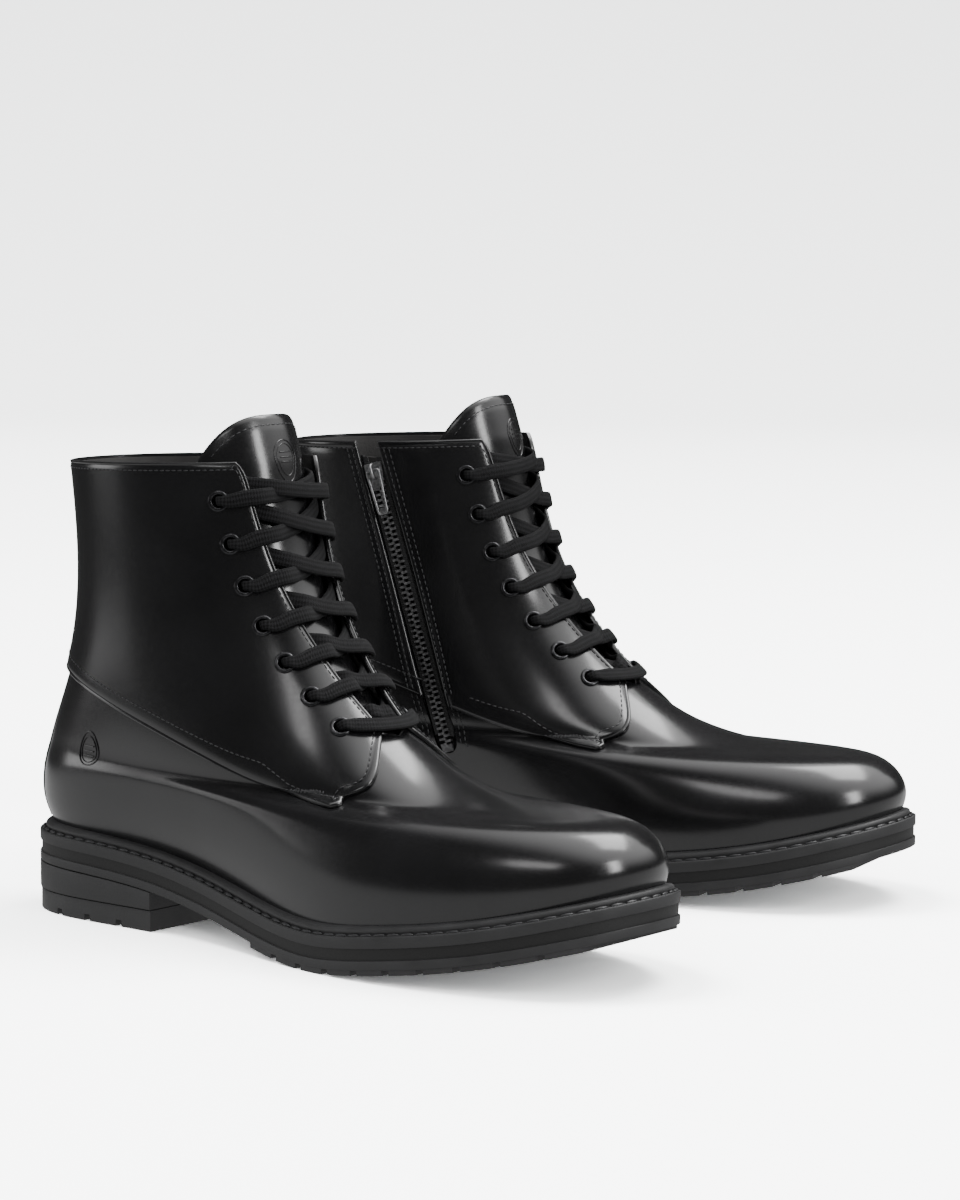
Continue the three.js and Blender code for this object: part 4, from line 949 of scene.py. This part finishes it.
# ---- welt with its bead ----
# A rubber welt all round, with a rounded bead against the leather and a trough for the stitches.
sole_rubber = mottled(
    "black_sole_rubber", tone(0.017, 0.0175), tone(0.025, 0.026), (90, 4), rough=(0.5, 0.66),
    grain=(1500, 3), bump=(0.25, 0.0003),
)
BEAD_RADIUS = 1.75
bead_bow = [
    (1.5 + BEAD_RADIUS * math.sin(a), 2.0 - BEAD_RADIUS * math.cos(a)) for a in np.linspace(0, 2.1, 9)
]
welt_profile = [
    (-2.6, 0.6), (-1.2, -0.2), (0.4, -0.1), *bead_bow, (3.1, 3.35), (3.5, 3.75), (4.3, 3.75), (4.8, 3.4),
    (5.2, 3.45), (5.5, 3.7), (5.6, 4.1), (5.6, 7.6), (5.45, 7.95), (5.2, 8.0), (-9, 8.0), (-9, 3.2),
    (-2.6, 3.2),
]


def round_sole(reach, depth):
    """A line round the sole, so far outside the feather line and so far below it."""
    plan = outline(full_turn(360), reach)
    return np.concatenate([plan, (feather(plan[:, 0]) - depth)[:, None]], 1)


for boot, side in SIDES.items():
    sections = np.stack([round_sole(reach, depth) for reach, depth in welt_profile], 1)
    welt = solid(f"{boot}_welt_and_bead", *lofted(sections, closed=True), side, sole_rubber, sharp=50)
    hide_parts(f"{boot}_welt")
    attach(welt, f"{boot}_boot")

# ---- midsole, outsole and heel ----
# A darker recessed rubber band, then a ridged rubber outsole and a heel block with a notched lift.
band_rubber = mottled(
    "dark_band_rubber", tone(0.006, 0.006), tone(0.01, 0.01), (1200, 3), span=(0, 1), bump=(0.3, 0.0003),
)
LUGS_FROM = 143
LUGS_TO = 290
LUG_PITCH = 15
NOTCH = 3.3
BREAST = 81
HEEL_LIFT = 8.5
LIFT_NOTCHES = (0.35, 0.56, 0.78)


def notch_cutter(x, top, side, foot=-3):
    """A straight groove across the sole, a little wider at its mouth."""
    half = NOTCH / 2
    profile = [(x - half - 0.5, foot), (x + half + 0.5, foot), (x + half - 0.1, top), (x - half + 0.1, top)]
    points = [(px, y, pz) for y in (-85, 85) for px, pz in profile]
    return solid("notch_cutter", points, prism_faces(4), side, sole_rubber)


def band_depths(x):
    return feather(x) - BAND_TOP + 0.3, feather(x) - BAND_TOP - MIDSOLE - 0.3


def tread_depths(x):
    return feather(x) - LUG_ROOT + 0.5, max(feather(x) - LUG_ROOT - LUG, 0.0)


for boot, side in SIDES.items():
    body = f"{boot}_boot"
    band_sections = sole_sections(WELT_REACH - 0.7, band_depths, rungs=160)
    band = solid(f"{boot}_midsole_band", *lofted(band_sections), side, band_rubber)
    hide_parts(f"{boot}_midsole")
    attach(band, body)

    base_sections = sole_sections(
        WELT_REACH, lambda x: (feather(x) - OUTSOLE_TOP, feather(x) - LUG_ROOT), rungs=160, rounding=0.45,
    )
    tread_sections = sole_sections(
        WELT_REACH - 0.25, tread_depths, start=LUGS_FROM, end=LUGS_TO, rungs=110, rounding=0.3,
    )
    tread = solid(f"{boot}_tread", *lofted(tread_sections), side, sole_rubber)
    cuts = np.arange(LUGS_FROM + LUG_PITCH, LUGS_TO - NOTCH, LUG_PITCH)
    cut_away(tread, [notch_cutter(x, float(feather(x)) - LUG_ROOT + 0.05, side) for x in cuts])
    sheet_piece = solid(f"{boot}_outsole_rubber", *lofted(base_sections), side, sole_rubber)
    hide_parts(f"{boot}_outsole")
    for piece in (sheet_piece, tread):
        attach(piece, body)

    block_sections = sole_sections(
        WELT_REACH, lambda x: (feather(x) - LUG_ROOT - GAP, HEEL_LIFT + 0.35), end=BREAST, rungs=60,
        rounding=0.4,
    )
    block = solid(f"{boot}_heel_stack", *lofted(block_sections), side, sole_rubber)
    lift_sections = sole_sections(
        WELT_REACH - 0.5, lambda x: (HEEL_LIFT, 0.0), end=BREAST, rungs=60, rounding=0.35,
    )
    lift = solid(f"{boot}_heel_top_piece", *lofted(lift_sections), side, sole_rubber)
    cut_away(lift, [notch_cutter(BREAST * share, 2.7, side) for share in LIFT_NOTCHES])
    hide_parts(f"{boot}_heel_block")
    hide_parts(f"{boot}_heel_lift")
    for piece in (block, lift):
        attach(piece, body)

# ---- stitching ----
# Black bonded thread, waxed: single rows along the facings, collar and tongue, a row above the
# quarter seam, double rows beside the zip, a zigzag tack at the foot of each facing, and long
# lockstitches in the trough of the welt.
UPPER_SEWING = (2.6, 2.1, 0.62)
TONGUE_SEWING = (2.6, 2.1, 0.6)
TACK_SEWING = (1.5, 1.5, 0.55)
WELT_SEWING = (6.3, 5.6, 1.5)


def wave(tree, scale, place, **settings):
    return add_node(tree, "ShaderNodeTexWave", {"Scale": scale, "Vector": place}, **settings).outputs["Fac"]


thread_finish, thread_tree, thread_shader = node_material("waxed_black_thread")
thread_twist = wave(thread_tree, 1400, place_of(thread_tree))
feed(thread_tree, thread_shader, {
    "Base Color": mixed(thread_tree, thread_twist, tone(0.012, 0.013), tone(0.03, 0.032)),
    "Roughness": 0.45,
})


def stitch_tree():
    """Stitches along every line of the mesh: pitch from one to the next, length and thread width."""
    tree = bpy.data.node_groups.new("sewn_row", "GeometryNodeTree")
    for label, way, kind in (
        ("Geometry", "INPUT", "Geometry"), ("Pitch", "INPUT", "Float"), ("Stitch Length", "INPUT", "Float"),
        ("Thread", "INPUT", "Float"), ("Finish", "INPUT", "Material"), ("Geometry", "OUTPUT", "Geometry"),
    ):
        tree.interface.new_socket(label, in_out=way, socket_type="NodeSocket" + kind)
    given = tree.nodes.new("NodeGroupInput").outputs
    row = add_node(tree, "GeometryNodeMeshToCurve", {"Mesh": given["Geometry"]})
    spaced = {"Curve": row.outputs["Curve"], "Length": given["Pitch"]}
    points = add_node(tree, "GeometryNodeCurveToPoints", spaced, mode="LENGTH")
    stitch = add_node(tree, "GeometryNodeMeshUVSphere", {"Segments": 6, "Rings": 4, "Radius": 0.5})
    size = {"X": given["Thread"], "Y": given["Thread"], "Z": given["Stitch Length"]}
    placed = add_node(tree, "GeometryNodeInstanceOnPoints", {
        "Points": points.outputs["Points"], "Rotation": points.outputs["Rotation"],
        "Instance": stitch.outputs["Mesh"],
        "Scale": add_node(tree, "ShaderNodeCombineXYZ", size).outputs["Vector"],
    })
    real = add_node(tree, "GeometryNodeRealizeInstances", {"Geometry": placed.outputs["Instances"]})
    smooth = add_node(tree, "GeometryNodeSetShadeSmooth", {"Geometry": real.outputs["Geometry"]})
    finish = {"Geometry": smooth.outputs["Geometry"], "Material": given["Finish"]}
    paint = add_node(tree, "GeometryNodeSetMaterial", finish)
    add_node(tree, "NodeGroupOutput", {"Geometry": paint.outputs["Geometry"]})
    return tree


sewn_row = stitch_tree()


def stitched(name, side, rows, pitch, length, thread):
    """Rows of stitches on one boot; each row is a line of points in boot millimetres."""
    points, edges = [], []
    for row in rows:
        first = len(points)
        points += [tuple(p) for p in in_pair(row, side)]
        edges += [(k, k + 1) for k in range(first, len(points) - 1)]
    mesh = bpy.data.meshes.new(name)
    mesh.from_pydata(points, edges, [])
    piece = bpy.data.objects.new(name, mesh)
    bpy.context.scene.collection.objects.link(piece)
    step = piece.modifiers.new("sewn", "NODES")
    step.node_group = sewn_row
    values = {"Pitch": pitch * MM, "Stitch Length": length * MM, "Thread": thread * MM}
    values["Finish"] = thread_finish
    for item in sewn_row.interface.items_tree:
        if item.name in values:
            step[item.identifier] = values[item.name]
    baked(piece)
    return piece


def inset(path, distance, height):
    """The path moved sideways on the last by millimetres, to its right seen from outside, at a height
    over the last."""
    path = np.asarray(path, float)
    phi, v = path[:, 0], path[:, 1]
    place = last_point(phi, v)
    ahead = unit(np.gradient(place, axis=0))
    way = np.cross(ahead, last_normal(phi, v)) * distance
    across = (last_point(phi + 0.002, v) - last_point(phi - 0.002, v)) / 0.004
    upward = (last_point(phi, v + 0.002) - last_point(phi, v - 0.002)) / 0.004
    aa, bb, ab = (across**2).sum(-1), (upward**2).sum(-1), (across * upward).sum(-1)
    wa, wb = (way * across).sum(-1), (way * upward).sum(-1)
    share = aa * bb - ab**2
    moved_phi = phi + (wa * bb - wb * ab) / share
    moved_v = v + (wb * aa - wa * ab) / share
    return off_last(moved_phi, moved_v, height)


ROW_HEIGHT = QUARTER_OUTER - 0.02
SEAM_ROW = 6.0
ZIP_ROWS = (2.4, 4.8)
STRIP_ROW = STRIP_HALF - 0.055
THREAD_REACH = 3.95
THREAD_DEPTH = 3.2
TACKS = 15
top_row = [(p, 1.0) for p in np.linspace(FACING_TOP, 0.0, 80)]
lateral_edge = np.concatenate([front_path[:-1], top_row])
seam_row = [(p, quarter_seam(p)) for p in np.linspace(0.0, SEAM_END, 90)]

for boot, side in SIDES.items():
    rows = [inset(lateral_edge, EDGE_ROW, ROW_HEIGHT)[10:-2], inset(seam_row, SEAM_ROW, ROW_HEIGHT)[2:]]
    start = float(zip_phi(1.0, ZIP_OPENING / 2))
    medial_top = [(p, 1.0) for p in np.linspace(-FACING_TOP, start, 60)]
    medial_edge = np.concatenate([front_path[:-1] * np.array([-1, 1]), medial_top])
    rows.append(inset(medial_edge, -EDGE_ROW, ROW_HEIGHT)[10:-1])
    foot = float(zip_phi(quarter_seam(1.5), ZIP_OPENING / 2 + 6))
    rear_foot = float(zip_phi(quarter_seam(1.4), -ZIP_OPENING / 2))
    for places in (np.linspace(foot, -SEAM_END, 40), np.linspace(-0.03, rear_foot, 50)):
        rows.append(inset([(p, quarter_seam(-p)) for p in places], -SEAM_ROW, ROW_HEIGHT))
    rear_top = float(zip_phi(1.0, -ZIP_OPENING / 2))
    rows.append(inset([(p, 1.0) for p in np.linspace(rear_top, -0.03, 50)], -EDGE_ROW, ROW_HEIGHT))
    for away_from_edge in ZIP_ROWS:
        for hand in (1, -1):
            reach = hand * (ZIP_OPENING / 2 + away_from_edge)
            seam_v = float(quarter_seam(1.45))
            high = np.linspace(0.985, seam_v + 0.02, 70)
            rows.append(off_last(zip_phi(high, reach), high, ROW_HEIGHT))
            low = np.linspace(seam_v - 0.012, 0.31 - 0.01 * away_from_edge, 40)
            rows.append(off_last(zip_phi(low, reach), low, 0.08))
    strip_v = np.linspace(0.03, quarter_seam(0.0) - 0.02, 60)
    for strip_phi in (-STRIP_ROW, STRIP_ROW):
        rows.append(off_last(strip_phi, strip_v, STRIP_OUTER))
    upper_rows = stitched(f"{boot}_upper_stitches", side, rows, *UPPER_SEWING)

    zigzag = []
    for hand in (1, -1):
        base_phi, base_v = hand * 1.80, 0.372
        steps = np.arange(TACKS)
        phi = base_phi + hand * 0.0125 * steps
        v = base_v + np.where(steps % 2 == 0, 0.012, -0.008) + 0.0022 * steps
        zigzag.append(off_last(phi, v, QUARTER_OUTER + 0.05))
    tack_rows = stitched(f"{boot}_tack_stitches", side, zigzag, *TACK_SEWING)

    trough = round_sole(THREAD_REACH, THREAD_DEPTH)
    trough = np.concatenate([trough, trough[:1]])
    welt_rows = stitched(f"{boot}_welt_stitches", side, [trough], *WELT_SEWING)

    rim = np.stack(tongue_chart(np.linspace(0, 1, 60), np.ones(60)), -1)
    rim_row = inset(rim, -4.5, TONGUE_OUTER - 0.28)[4:-4]
    tongue_rows = stitched(f"{boot}_tongue_stitches", side, [rim_row], *TONGUE_SEWING)

    for piece in (upper_rows, tack_rows, welt_rows, tongue_rows):
        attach(piece, f"{boot}_boot")

# ---- eyelets ----
# Seven black-lacquered brass eyelets on each facing, rolled over at the rim.
lacquer = mottled(
    "black_lacquered_brass", tone(0.03, 0.032), tone(0.07, 0.072), (700, 4), span=(0.45, 0.75),
    rough=0.24, metallic=0.8,
)
RIM = EYELET_RIM / 2
BORE = EYELET_BORE / 2
ROLL = 0.85
eyelet_profile = [(BORE, -2.4), (BORE, 0.5)]
for a in np.linspace(0.15, math.pi, 9):
    eyelet_profile.append((RIM - ROLL - ROLL * math.cos(a), 0.35 + 0.6 * math.sin(a)))
eyelet_profile += [(RIM, 0.02), (BORE + 0.35, 0.02), (BORE + 0.35, -2.4)]


def gathered(parts):
    """Points and faces of one mesh from those of its parts."""
    points, faces = [], []
    for part_points, part_faces in parts:
        faces += [tuple(k + len(points) for k in face) for face in part_faces]
        points += list(part_points)
    return np.array(points), faces


for boot, side in SIDES.items():
    for medial, node in ((False, "eyelets_lateral"), (True, "eyelets_medial")):
        parts = []
        for k in range(EYELETS):
            middle, across, up, out = eyelet_frame(k, medial, QUARTER_OUTER)
            spokes = [across * math.cos(a) + up * math.sin(a) for a in full_turn(28)]
            sections = [[middle + spoke * r + out * h for r, h in eyelet_profile] for spoke in spokes]
            parts.append(lofted(np.array(sections), closed=True))
        rings = solid(f"{boot}_{node}_rings", *gathered(parts), side, lacquer, sharp=60)
        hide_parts(f"{boot}_{node}")
        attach(rings, f"{boot}_boot")

# ---- lace ----
# One flat woven lace: a bar over the lowest pair of eyelets, then crossing upwards, out of each
# eyelet and under the facing opposite; both ends are tucked away inside at the top.
LACE_HALF = 3.15
LACE_THICK = 1.9
LACE_SLIM = 1.9
LACE_OVER = 3.75
LACE_UNDER = -1.6
LACE_ON_TONGUE = -2.6
WIDE_GAP = 16
LACE_END = (2.36, 0.975)
facing_line = line([(0.618, 2.96), (0.7, 2.87), (0.79, 2.77), (0.89, 2.67), (1, 2.57)])
lace_weave, lace_tree, lace_shader = node_material("flat_woven_lace")
lace_uv = place_of(lace_tree, "UV")
slant = {"Vector": lace_uv, "Rotation": (0, 0, math.radians(45))}
slanted = add_node(lace_tree, "ShaderNodeMapping", slant).outputs["Vector"]
lace_cells = add_node(lace_tree, "ShaderNodeTexChecker", {"Scale": 1250, "Vector": slanted}).outputs["Fac"]
lace_bump = bumped(lace_tree, lace_cells, 1.0, 0.0005)
lace_bump = bumped(lace_tree, wave(lace_tree, 620, slanted), 0.6, 0.0004, lace_bump)
lace_bump = bumped(lace_tree, noise(lace_tree, 1800, 3, lace_uv), 0.5, 0.0002, lace_bump)
feed(lace_tree, lace_shader, {
    "Base Color": mixed(lace_tree, lace_cells, tone(0.0016, 0.0018), tone(0.011, 0.012)),
    "Normal": lace_bump, "Roughness": 0.8, "Specular IOR Level": 0.25,
})


def to_other_side(stations):
    return [(2 * math.pi - phi, v, lift, half) for phi, v, lift, half in stations]


def through_eyelet(k):
    """Stations from under the facing to the outside of a lateral eyelet."""
    phi, v = eyelet_rows[k]
    per_mm = 0.1 / np.linalg.norm(last_point(phi + 0.1, v) - last_point(phi, v))
    stations = (
        (3.4, LACE_UNDER, LACE_SLIM), (0.3, LACE_UNDER + 0.5, LACE_SLIM), (0.1, LACE_OVER - 1.2, LACE_SLIM),
        (1.4, LACE_OVER + 0.1, LACE_SLIM), (4.2, LACE_OVER, LACE_HALF * 0.86),
    )
    return [(phi + shift * per_mm, v, lift, half) for shift, lift, half in stations]


def crossing(k, high, from_inside=False):
    """Stations from the outside of lateral eyelet k to under the medial facing at the next one up."""
    phi, v = eyelet_rows[k]
    far_phi, far_v = eyelet_rows[k - 1] if k else LACE_END
    end = 2 * math.pi - far_phi

    def at(q):
        return phi + (end - phi) * q, v + (far_v - v) * q

    leave = (float(facing_line(v)) - phi) / (end - phi) + 0.03
    arrive = 1 - (float(facing_line(far_v)) - far_phi) / (end - phi) - 0.03
    edge_phi, edge_v = at(leave)
    half_gap = np.linalg.norm(last_point(edge_phi, edge_v) - last_point(math.pi, edge_v))
    rest = min(half_gap / WIDE_GAP, 1)
    middle = -0.2 + (LACE_ON_TONGUE + 0.2) * rest + (LACE_THICK + 0.2 if high else 0)
    outside, at_edge = (LACE_UNDER, LACE_UNDER) if from_inside else (LACE_OVER, LACE_OVER - 0.5)
    lifts = [
        (0.62 * leave, outside), (leave, at_edge), (leave + (0.5 - leave) * 0.5, middle + 1.1),
        (0.5, middle), (arrive - (arrive - 0.5) * 0.4, middle - 0.3 * (1 - rest)), (arrive, LACE_UNDER),
    ]
    return [(*at(q), lift, LACE_HALF) for q, lift in lifts]


def lace_half(high):
    last = EYELETS - 1
    route = through_eyelet(last)[::-1]
    swapped = False
    for k in range(last, 0, -1):
        run = crossing(k, high == swapped, k == last)
        leg = run + to_other_side(through_eyelet(k - 1))
        route += to_other_side(leg) if swapped else leg
        swapped = not swapped
    tuck = crossing(0, high == swapped)
    tuck.append((2 * math.pi - LACE_END[0], LACE_END[1], LACE_UNDER - 1.0, LACE_HALF))
    return route + (to_other_side(tuck) if swapped else tuck)


bottom_phi, bottom_v = eyelet_rows[EYELETS - 1]
bar = [
    (bottom_phi + (math.pi - bottom_phi) * share, bottom_v, LACE_OVER + 0.2 - share * 0.6, LACE_HALF)
    for share in (0.3, 0.7)
]
first_half, second_half = lace_half(True)[::-1], to_other_side(lace_half(False))
lace_stations = np.array(first_half + bar + to_other_side(bar)[::-1] + second_half)


def flat_cord(stations, step=0.8):
    """A flat woven cord through stations of phi, v, lift and half width."""
    knots = off_last(stations[:, 0], stations[:, 1], stations[:, 2])
    up = last_upward(stations[:, 0], stations[:, 1])
    legs = np.linalg.norm(np.diff(knots, axis=0), axis=1)
    walk = np.concatenate([[0], np.cumsum(np.maximum(legs, 0.3))])
    slope = np.gradient(knots, walk, axis=0)
    at = np.arange(0, walk[-1], step)
    i = np.clip(np.searchsorted(walk, at, side="right") - 1, 0, len(walk) - 2)
    gap = (walk[i + 1] - walk[i])[:, None]
    s = ((at - walk[i]) / gap[:, 0])[:, None]
    path = ((2 * s**3 - 3 * s**2 + 1) * knots[i] + (s**3 - 2 * s**2 + s) * gap * slope[i]
            + (-2 * s**3 + 3 * s**2) * knots[i + 1] + (s**3 - s**2) * gap * slope[i + 1])
    ahead = unit(np.gradient(path, axis=0))
    upward = np.stack([np.interp(at, walk, up[:, k]) for k in range(3)], -1)
    wide = unit(upward - ahead * (upward * ahead).sum(-1, keepdims=True))
    thick = np.cross(ahead, wide)
    half = np.interp(at, walk, stations[:, 3])
    turns = full_turn(16)
    c, s = np.cos(turns), np.sin(turns)
    sideways, outwards = np.sign(c) * np.abs(c) ** 0.75, np.sign(s) * np.abs(s) ** 0.6
    sections = path[:, None] + wide[:, None] * (half[:, None] * sideways)[..., None]
    depth = LACE_THICK / 2 * (1 + 0.35 * (LACE_HALF - half) / LACE_HALF)
    sections = sections + thick[:, None] * (depth[:, None] * outwards)[..., None]
    return sections, pairs(at[:, None], turns / (2 * math.pi) * 4 * LACE_HALF).reshape(-1, 2)


lace_sections, lace_flat = flat_cord(lace_stations)
for boot, side in SIDES.items():
    lace = solid(f"{boot}_flat_lace", *lofted(lace_sections), side, lace_weave, lace_flat, sharp=80)
    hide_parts(f"{boot}_lace")
    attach(lace, f"{boot}_boot")

# ---- zip ----
# A metal zip in woven tape, sewn under the leather on the inner side, with a slider, an open-frame
# pull and a bottom stop; a leather flap inside keeps it off the ankle.
tape_weave, tape_tree, tape_shader = node_material("woven_zip_tape")
tape_ribs = wave(tape_tree, 420, place_of(tape_tree), bands_direction="Z")
feed(tape_tree, tape_shader, {
    "Base Color": mixed(tape_tree, tape_ribs, tone(0.006, 0.006), tone(0.014, 0.015)),
    "Normal": bumped(tape_tree, tape_ribs, 0.6, 0.0003), "Roughness": 0.85,
})
gunmetal = mottled(
    "dark_nickel_plate", tone(0.3, 0.305), tone(0.5, 0.505), (900, 4), span=(0.4, 0.7),
    rough=(0.34, 0.5), metallic=1,
)
ZIP_RUN = (ZIP_TOP - ZIP_FOOT) * ZIP_STRETCH
TOOTH_PITCH = 2.4
TOOTH_DEPTH = 0.8
TOOTH = [
    (0.1, 0.45), (1.0, 0.62), (1.25, 0.5), (3.0, 0.5), (3.0, -0.5), (1.25, -0.5), (1.0, -0.62), (0.1, -0.45),
]
SLIDER_LENGTH = 11
PULL_PIVOT = (0, 2.9, 8.3)
TAPE_OUTER = -4.0
TAPE_THICK = 0.6
TAPE_SPAN = (0.31, 0.975)
GUARD_SPAN = (0.29, 0.972)
GUARD_HALF = 12.8
GUARD_OUTER = -5.5
GUARD_INNER = -6.6
for boot, side in SIDES.items():
    body = f"{boot}_boot"
    for hand, node in ((1, "zip_tape_front"), (-1, "zip_tape_rear")):
        v = np.linspace(*TAPE_SPAN, 70)
        z = last_point(zip_phi(v, hand * 5.0), v)[:, 2]
        top, bottom = [], []
        for d in (2.2, 3.4, 4.4):
            flat_row = np.stack(np.broadcast_arrays(zip_x(z) + hand * d, -ZIP_DEPTH, z), -1)
            top.append(flat_row + np.array([0, -TAPE_THICK / 2, 0]))
            bottom.append(flat_row + np.array([0, TAPE_THICK / 2, 0]))
        for d, sink in ((6.6, 0.3), (9, 0), (13.2, 0)):
            phi = zip_phi(v, hand * d)
            top.append(off_last(phi, v, TAPE_OUTER - sink))
            bottom.append(off_last(phi, v, TAPE_OUTER - TAPE_THICK - sink))
        sheet = shell(np.stack(top, 1), np.stack(bottom, 1))
        tape = solid(f"{boot}_{node}_weave", *sheet, side, tape_weave)
        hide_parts(f"{boot}_{node}")
        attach(tape, body)

    for hand, node in ((-1, "zip_teeth_front"), (1, "zip_teeth_rear")):
        parts = []
        start = 0 if hand > 0 else TOOTH_PITCH / 2
        for along in np.arange(start, ZIP_RUN + SLIDER_LENGTH - 1, TOOTH_PITCH):
            apart = 0.25 if along > ZIP_RUN + 1 else -0.35
            points = [
                (hand * (x + apart), y, along - ZIP_RUN + h)
                for y in (-TOOTH_DEPTH, TOOTH_DEPTH)
                for x, h in TOOTH
            ]
            parts.append((points, prism_faces(len(TOOTH))))
        points, faces = gathered(parts)
        teeth = solid(f"{boot}_{node}_row", zip_place(points), faces, side, gunmetal, sharp=30)
        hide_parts(f"{boot}_{node}")
        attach(teeth, body)

    guard_v = np.broadcast_to(np.linspace(*GUARD_SPAN, 60), (15, 60))
    guard_phi = zip_phi(guard_v, np.linspace(1, -1, 15)[:, None] * GUARD_HALF)
    flap = shell(*(off_last(guard_phi, guard_v, height) for height in (GUARD_OUTER, GUARD_INNER)))
    guard = solid(f"{boot}_zip_guard_flap", *flap, side, soft_lining)
    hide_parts(f"{boot}_zip_guard")
    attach(guard, body)


def prism(outline_points, low, high, bevel):
    """Points and faces of a plate in the zip frame: outline across and along, low and high outwards."""
    shape = bmesh.new()
    bottom = [shape.verts.new((x, low, z)) for x, z in outline_points]
    face = shape.faces.new(bottom)
    grown_face = bmesh.ops.extrude_face_region(shape, geom=[face])
    for vert in (g for g in grown_face["geom"] if isinstance(g, bmesh.types.BMVert)):
        vert.co.y = high
    bmesh.ops.recalc_face_normals(shape, faces=shape.faces)
    bmesh.ops.bevel(
        shape, geom=list(shape.edges), offset=bevel, segments=2, affect="EDGES", clamp_overlap=True,
    )
    points = [tuple(vert.co) for vert in shape.verts]
    shape.verts.index_update()
    faces = [tuple(vert.index for vert in f.verts) for f in shape.faces]
    shape.free()
    return points, faces


def tube(path, radius, closed, sides=10):
    """Points and faces of a round bar along a path."""
    path = np.asarray(path, float)
    ahead = np.roll(path, -1, 0) - np.roll(path, 1, 0) if closed else np.gradient(path, axis=0)
    first = unit(np.cross(unit(ahead), np.array([0.21, 0.93, 0.3])))
    second = np.cross(unit(ahead), first)
    c, s = (way(full_turn(sides))[:, None] for way in (np.cos, np.sin))
    return lofted(path[:, None] + radius * (c * first[:, None] + s * second[:, None]), closed)


def plate(x, wide, high, narrow, low):
    """A four-sided outline about x, wide at the height high and narrow at low."""
    return [(x - wide, high), (x + wide, high), (x + narrow, low), (x - narrow, low)]


for boot, side in SIDES.items():
    half, waist = 4.0, 3.1
    shield = [
        (-half, 11.5), (half, 11.5), (half, 6.5), (waist, 3.2), (waist, 0.5), (-waist, 0.5), (-waist, 3.2),
        (-half, 6.5),
    ]
    bridge = [
        (0, 1.8, 4.9), (0, 3.2, 5.2), (0, 4.1, 6.4), (0, 4.25, 8.3), (0, 4.1, 9.9), (0, 3.2, 10.6),
        (0, 1.8, 10.8),
    ]
    slider_parts = [
        prism(shield, 1.1, 2.1, 0.25), prism(shield, -2.1, -1.1, 0.25),
        prism(plate(0, 0.4, 11, 0.4, 7.5), -1.9, 1.9, 0.05), tube(smooth_run(bridge, 25), 0.62, False),
        prism(plate(half - 0.65, 0.35, 11, 0.35, 7), 2.0, 2.5, 0.12),
        prism(plate(0.65 - half, 0.35, 11, 0.35, 7), 2.0, 2.5, 0.12),
    ]
    slider_points, slider_faces = gathered(slider_parts)
    slider = solid(f"{boot}_slider_body", zip_place(slider_points), slider_faces, side, gunmetal, sharp=40)
    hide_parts(f"{boot}_zip_slider")
    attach(slider, f"{boot}_zip_slider")

    px, py, pz = PULL_PIVOT
    corners = [(-3.0, 0), (3.0, 0), (2.1, -19), (-2.1, -19)]
    loop = []
    for k in range(4):
        before, here, after = (np.array(corners[(k + s) % 4], float) for s in (-1, 0, 1))
        enter = here + unit(before - here) * 1.3
        exit_point = here + unit(after - here) * 1.3
        for s in np.linspace(0, 1, 6):
            bend = (1 - s) ** 2 * enter + 2 * s * (1 - s) * here + s * s * exit_point
            loop.append((px + bend[0], py, pz + bend[1]))
    grip = prism(plate(0, 1.9, pz - 16.5, 1.75, pz - 19.2), py - 0.35, py + 0.35, 0.15)
    pull_points, pull_faces = gathered([tube(loop, 0.55, True), grip])
    pull = solid(f"{boot}_pull_frame", zip_place(pull_points), pull_faces, side, gunmetal, sharp=40)
    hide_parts(f"{boot}_zip_pull")
    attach(pull, f"{boot}_zip_pull")

    stop_plate = plate(0, 2.7, -ZIP_RUN - 0.3, 2.4, -ZIP_RUN - 3.4)
    stop_points, stop_faces = prism(stop_plate, -0.95, 1.0, 0.3)
    stop = solid(f"{boot}_bottom_stop", zip_place(stop_points), stop_faces, side, gunmetal, sharp=40)
    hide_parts(f"{boot}_zip_bottom_stop")
    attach(stop, f"{boot}_boot")

# ---- plain marks pressed into the leather ----
# An oval with three bars on the outer heel and on the head of the tongue, raised a hair's breadth.
def spread_at(phi, v, turn, rise):
    """Millimetres on the last for one unit of phi or of v."""
    step = last_point(phi + turn, v + rise) - last_point(phi - turn, v - rise)
    return np.linalg.norm(step) / (2 * max(turn, rise))


for boot, side in SIDES.items():
    for name, centre_phi, centre_v, base, width, height, lean in (
        ("heel_mark", 0.86, 0.40, 0.2, 12.0, 14.5, 0.5),
        ("tongue_mark", math.pi, 1.01, TONGUE_OUTER + 0.05, 14.0, 14.0, 0.0),
    ):
        per_phi = spread_at(centre_phi, centre_v, 0.01, 0)
        per_v = spread_at(centre_phi, centre_v, 0, 0.01)
        turns = full_turn(48)
        parts = []
        for shrink, radius in ((1.0, 0.26), (0.78, 0.18)):
            rise = shrink * height / 2 * np.sin(turns)
            phi = centre_phi + (shrink * width / 2 * np.cos(turns) + lean * rise) / per_phi
            v = centre_v + rise / per_v
            parts.append(tube(off_last(phi, v, base), radius, True, 6))
        for share in (-0.3, 0.0, 0.3):
            reach = 0.5 * width / 2
            phi = centre_phi + (np.linspace(-reach, reach, 9) + lean * share * height / 2) / per_phi
            v = centre_v + share * height / 2 / per_v
            parts.append(tube(off_last(phi, v, base), 0.3, False, 6))
        mark = solid(f"{boot}_{name}", *gathered(parts), side, UPPER_LEATHER, sharp=80)
        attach(mark, f"{boot}_boot")
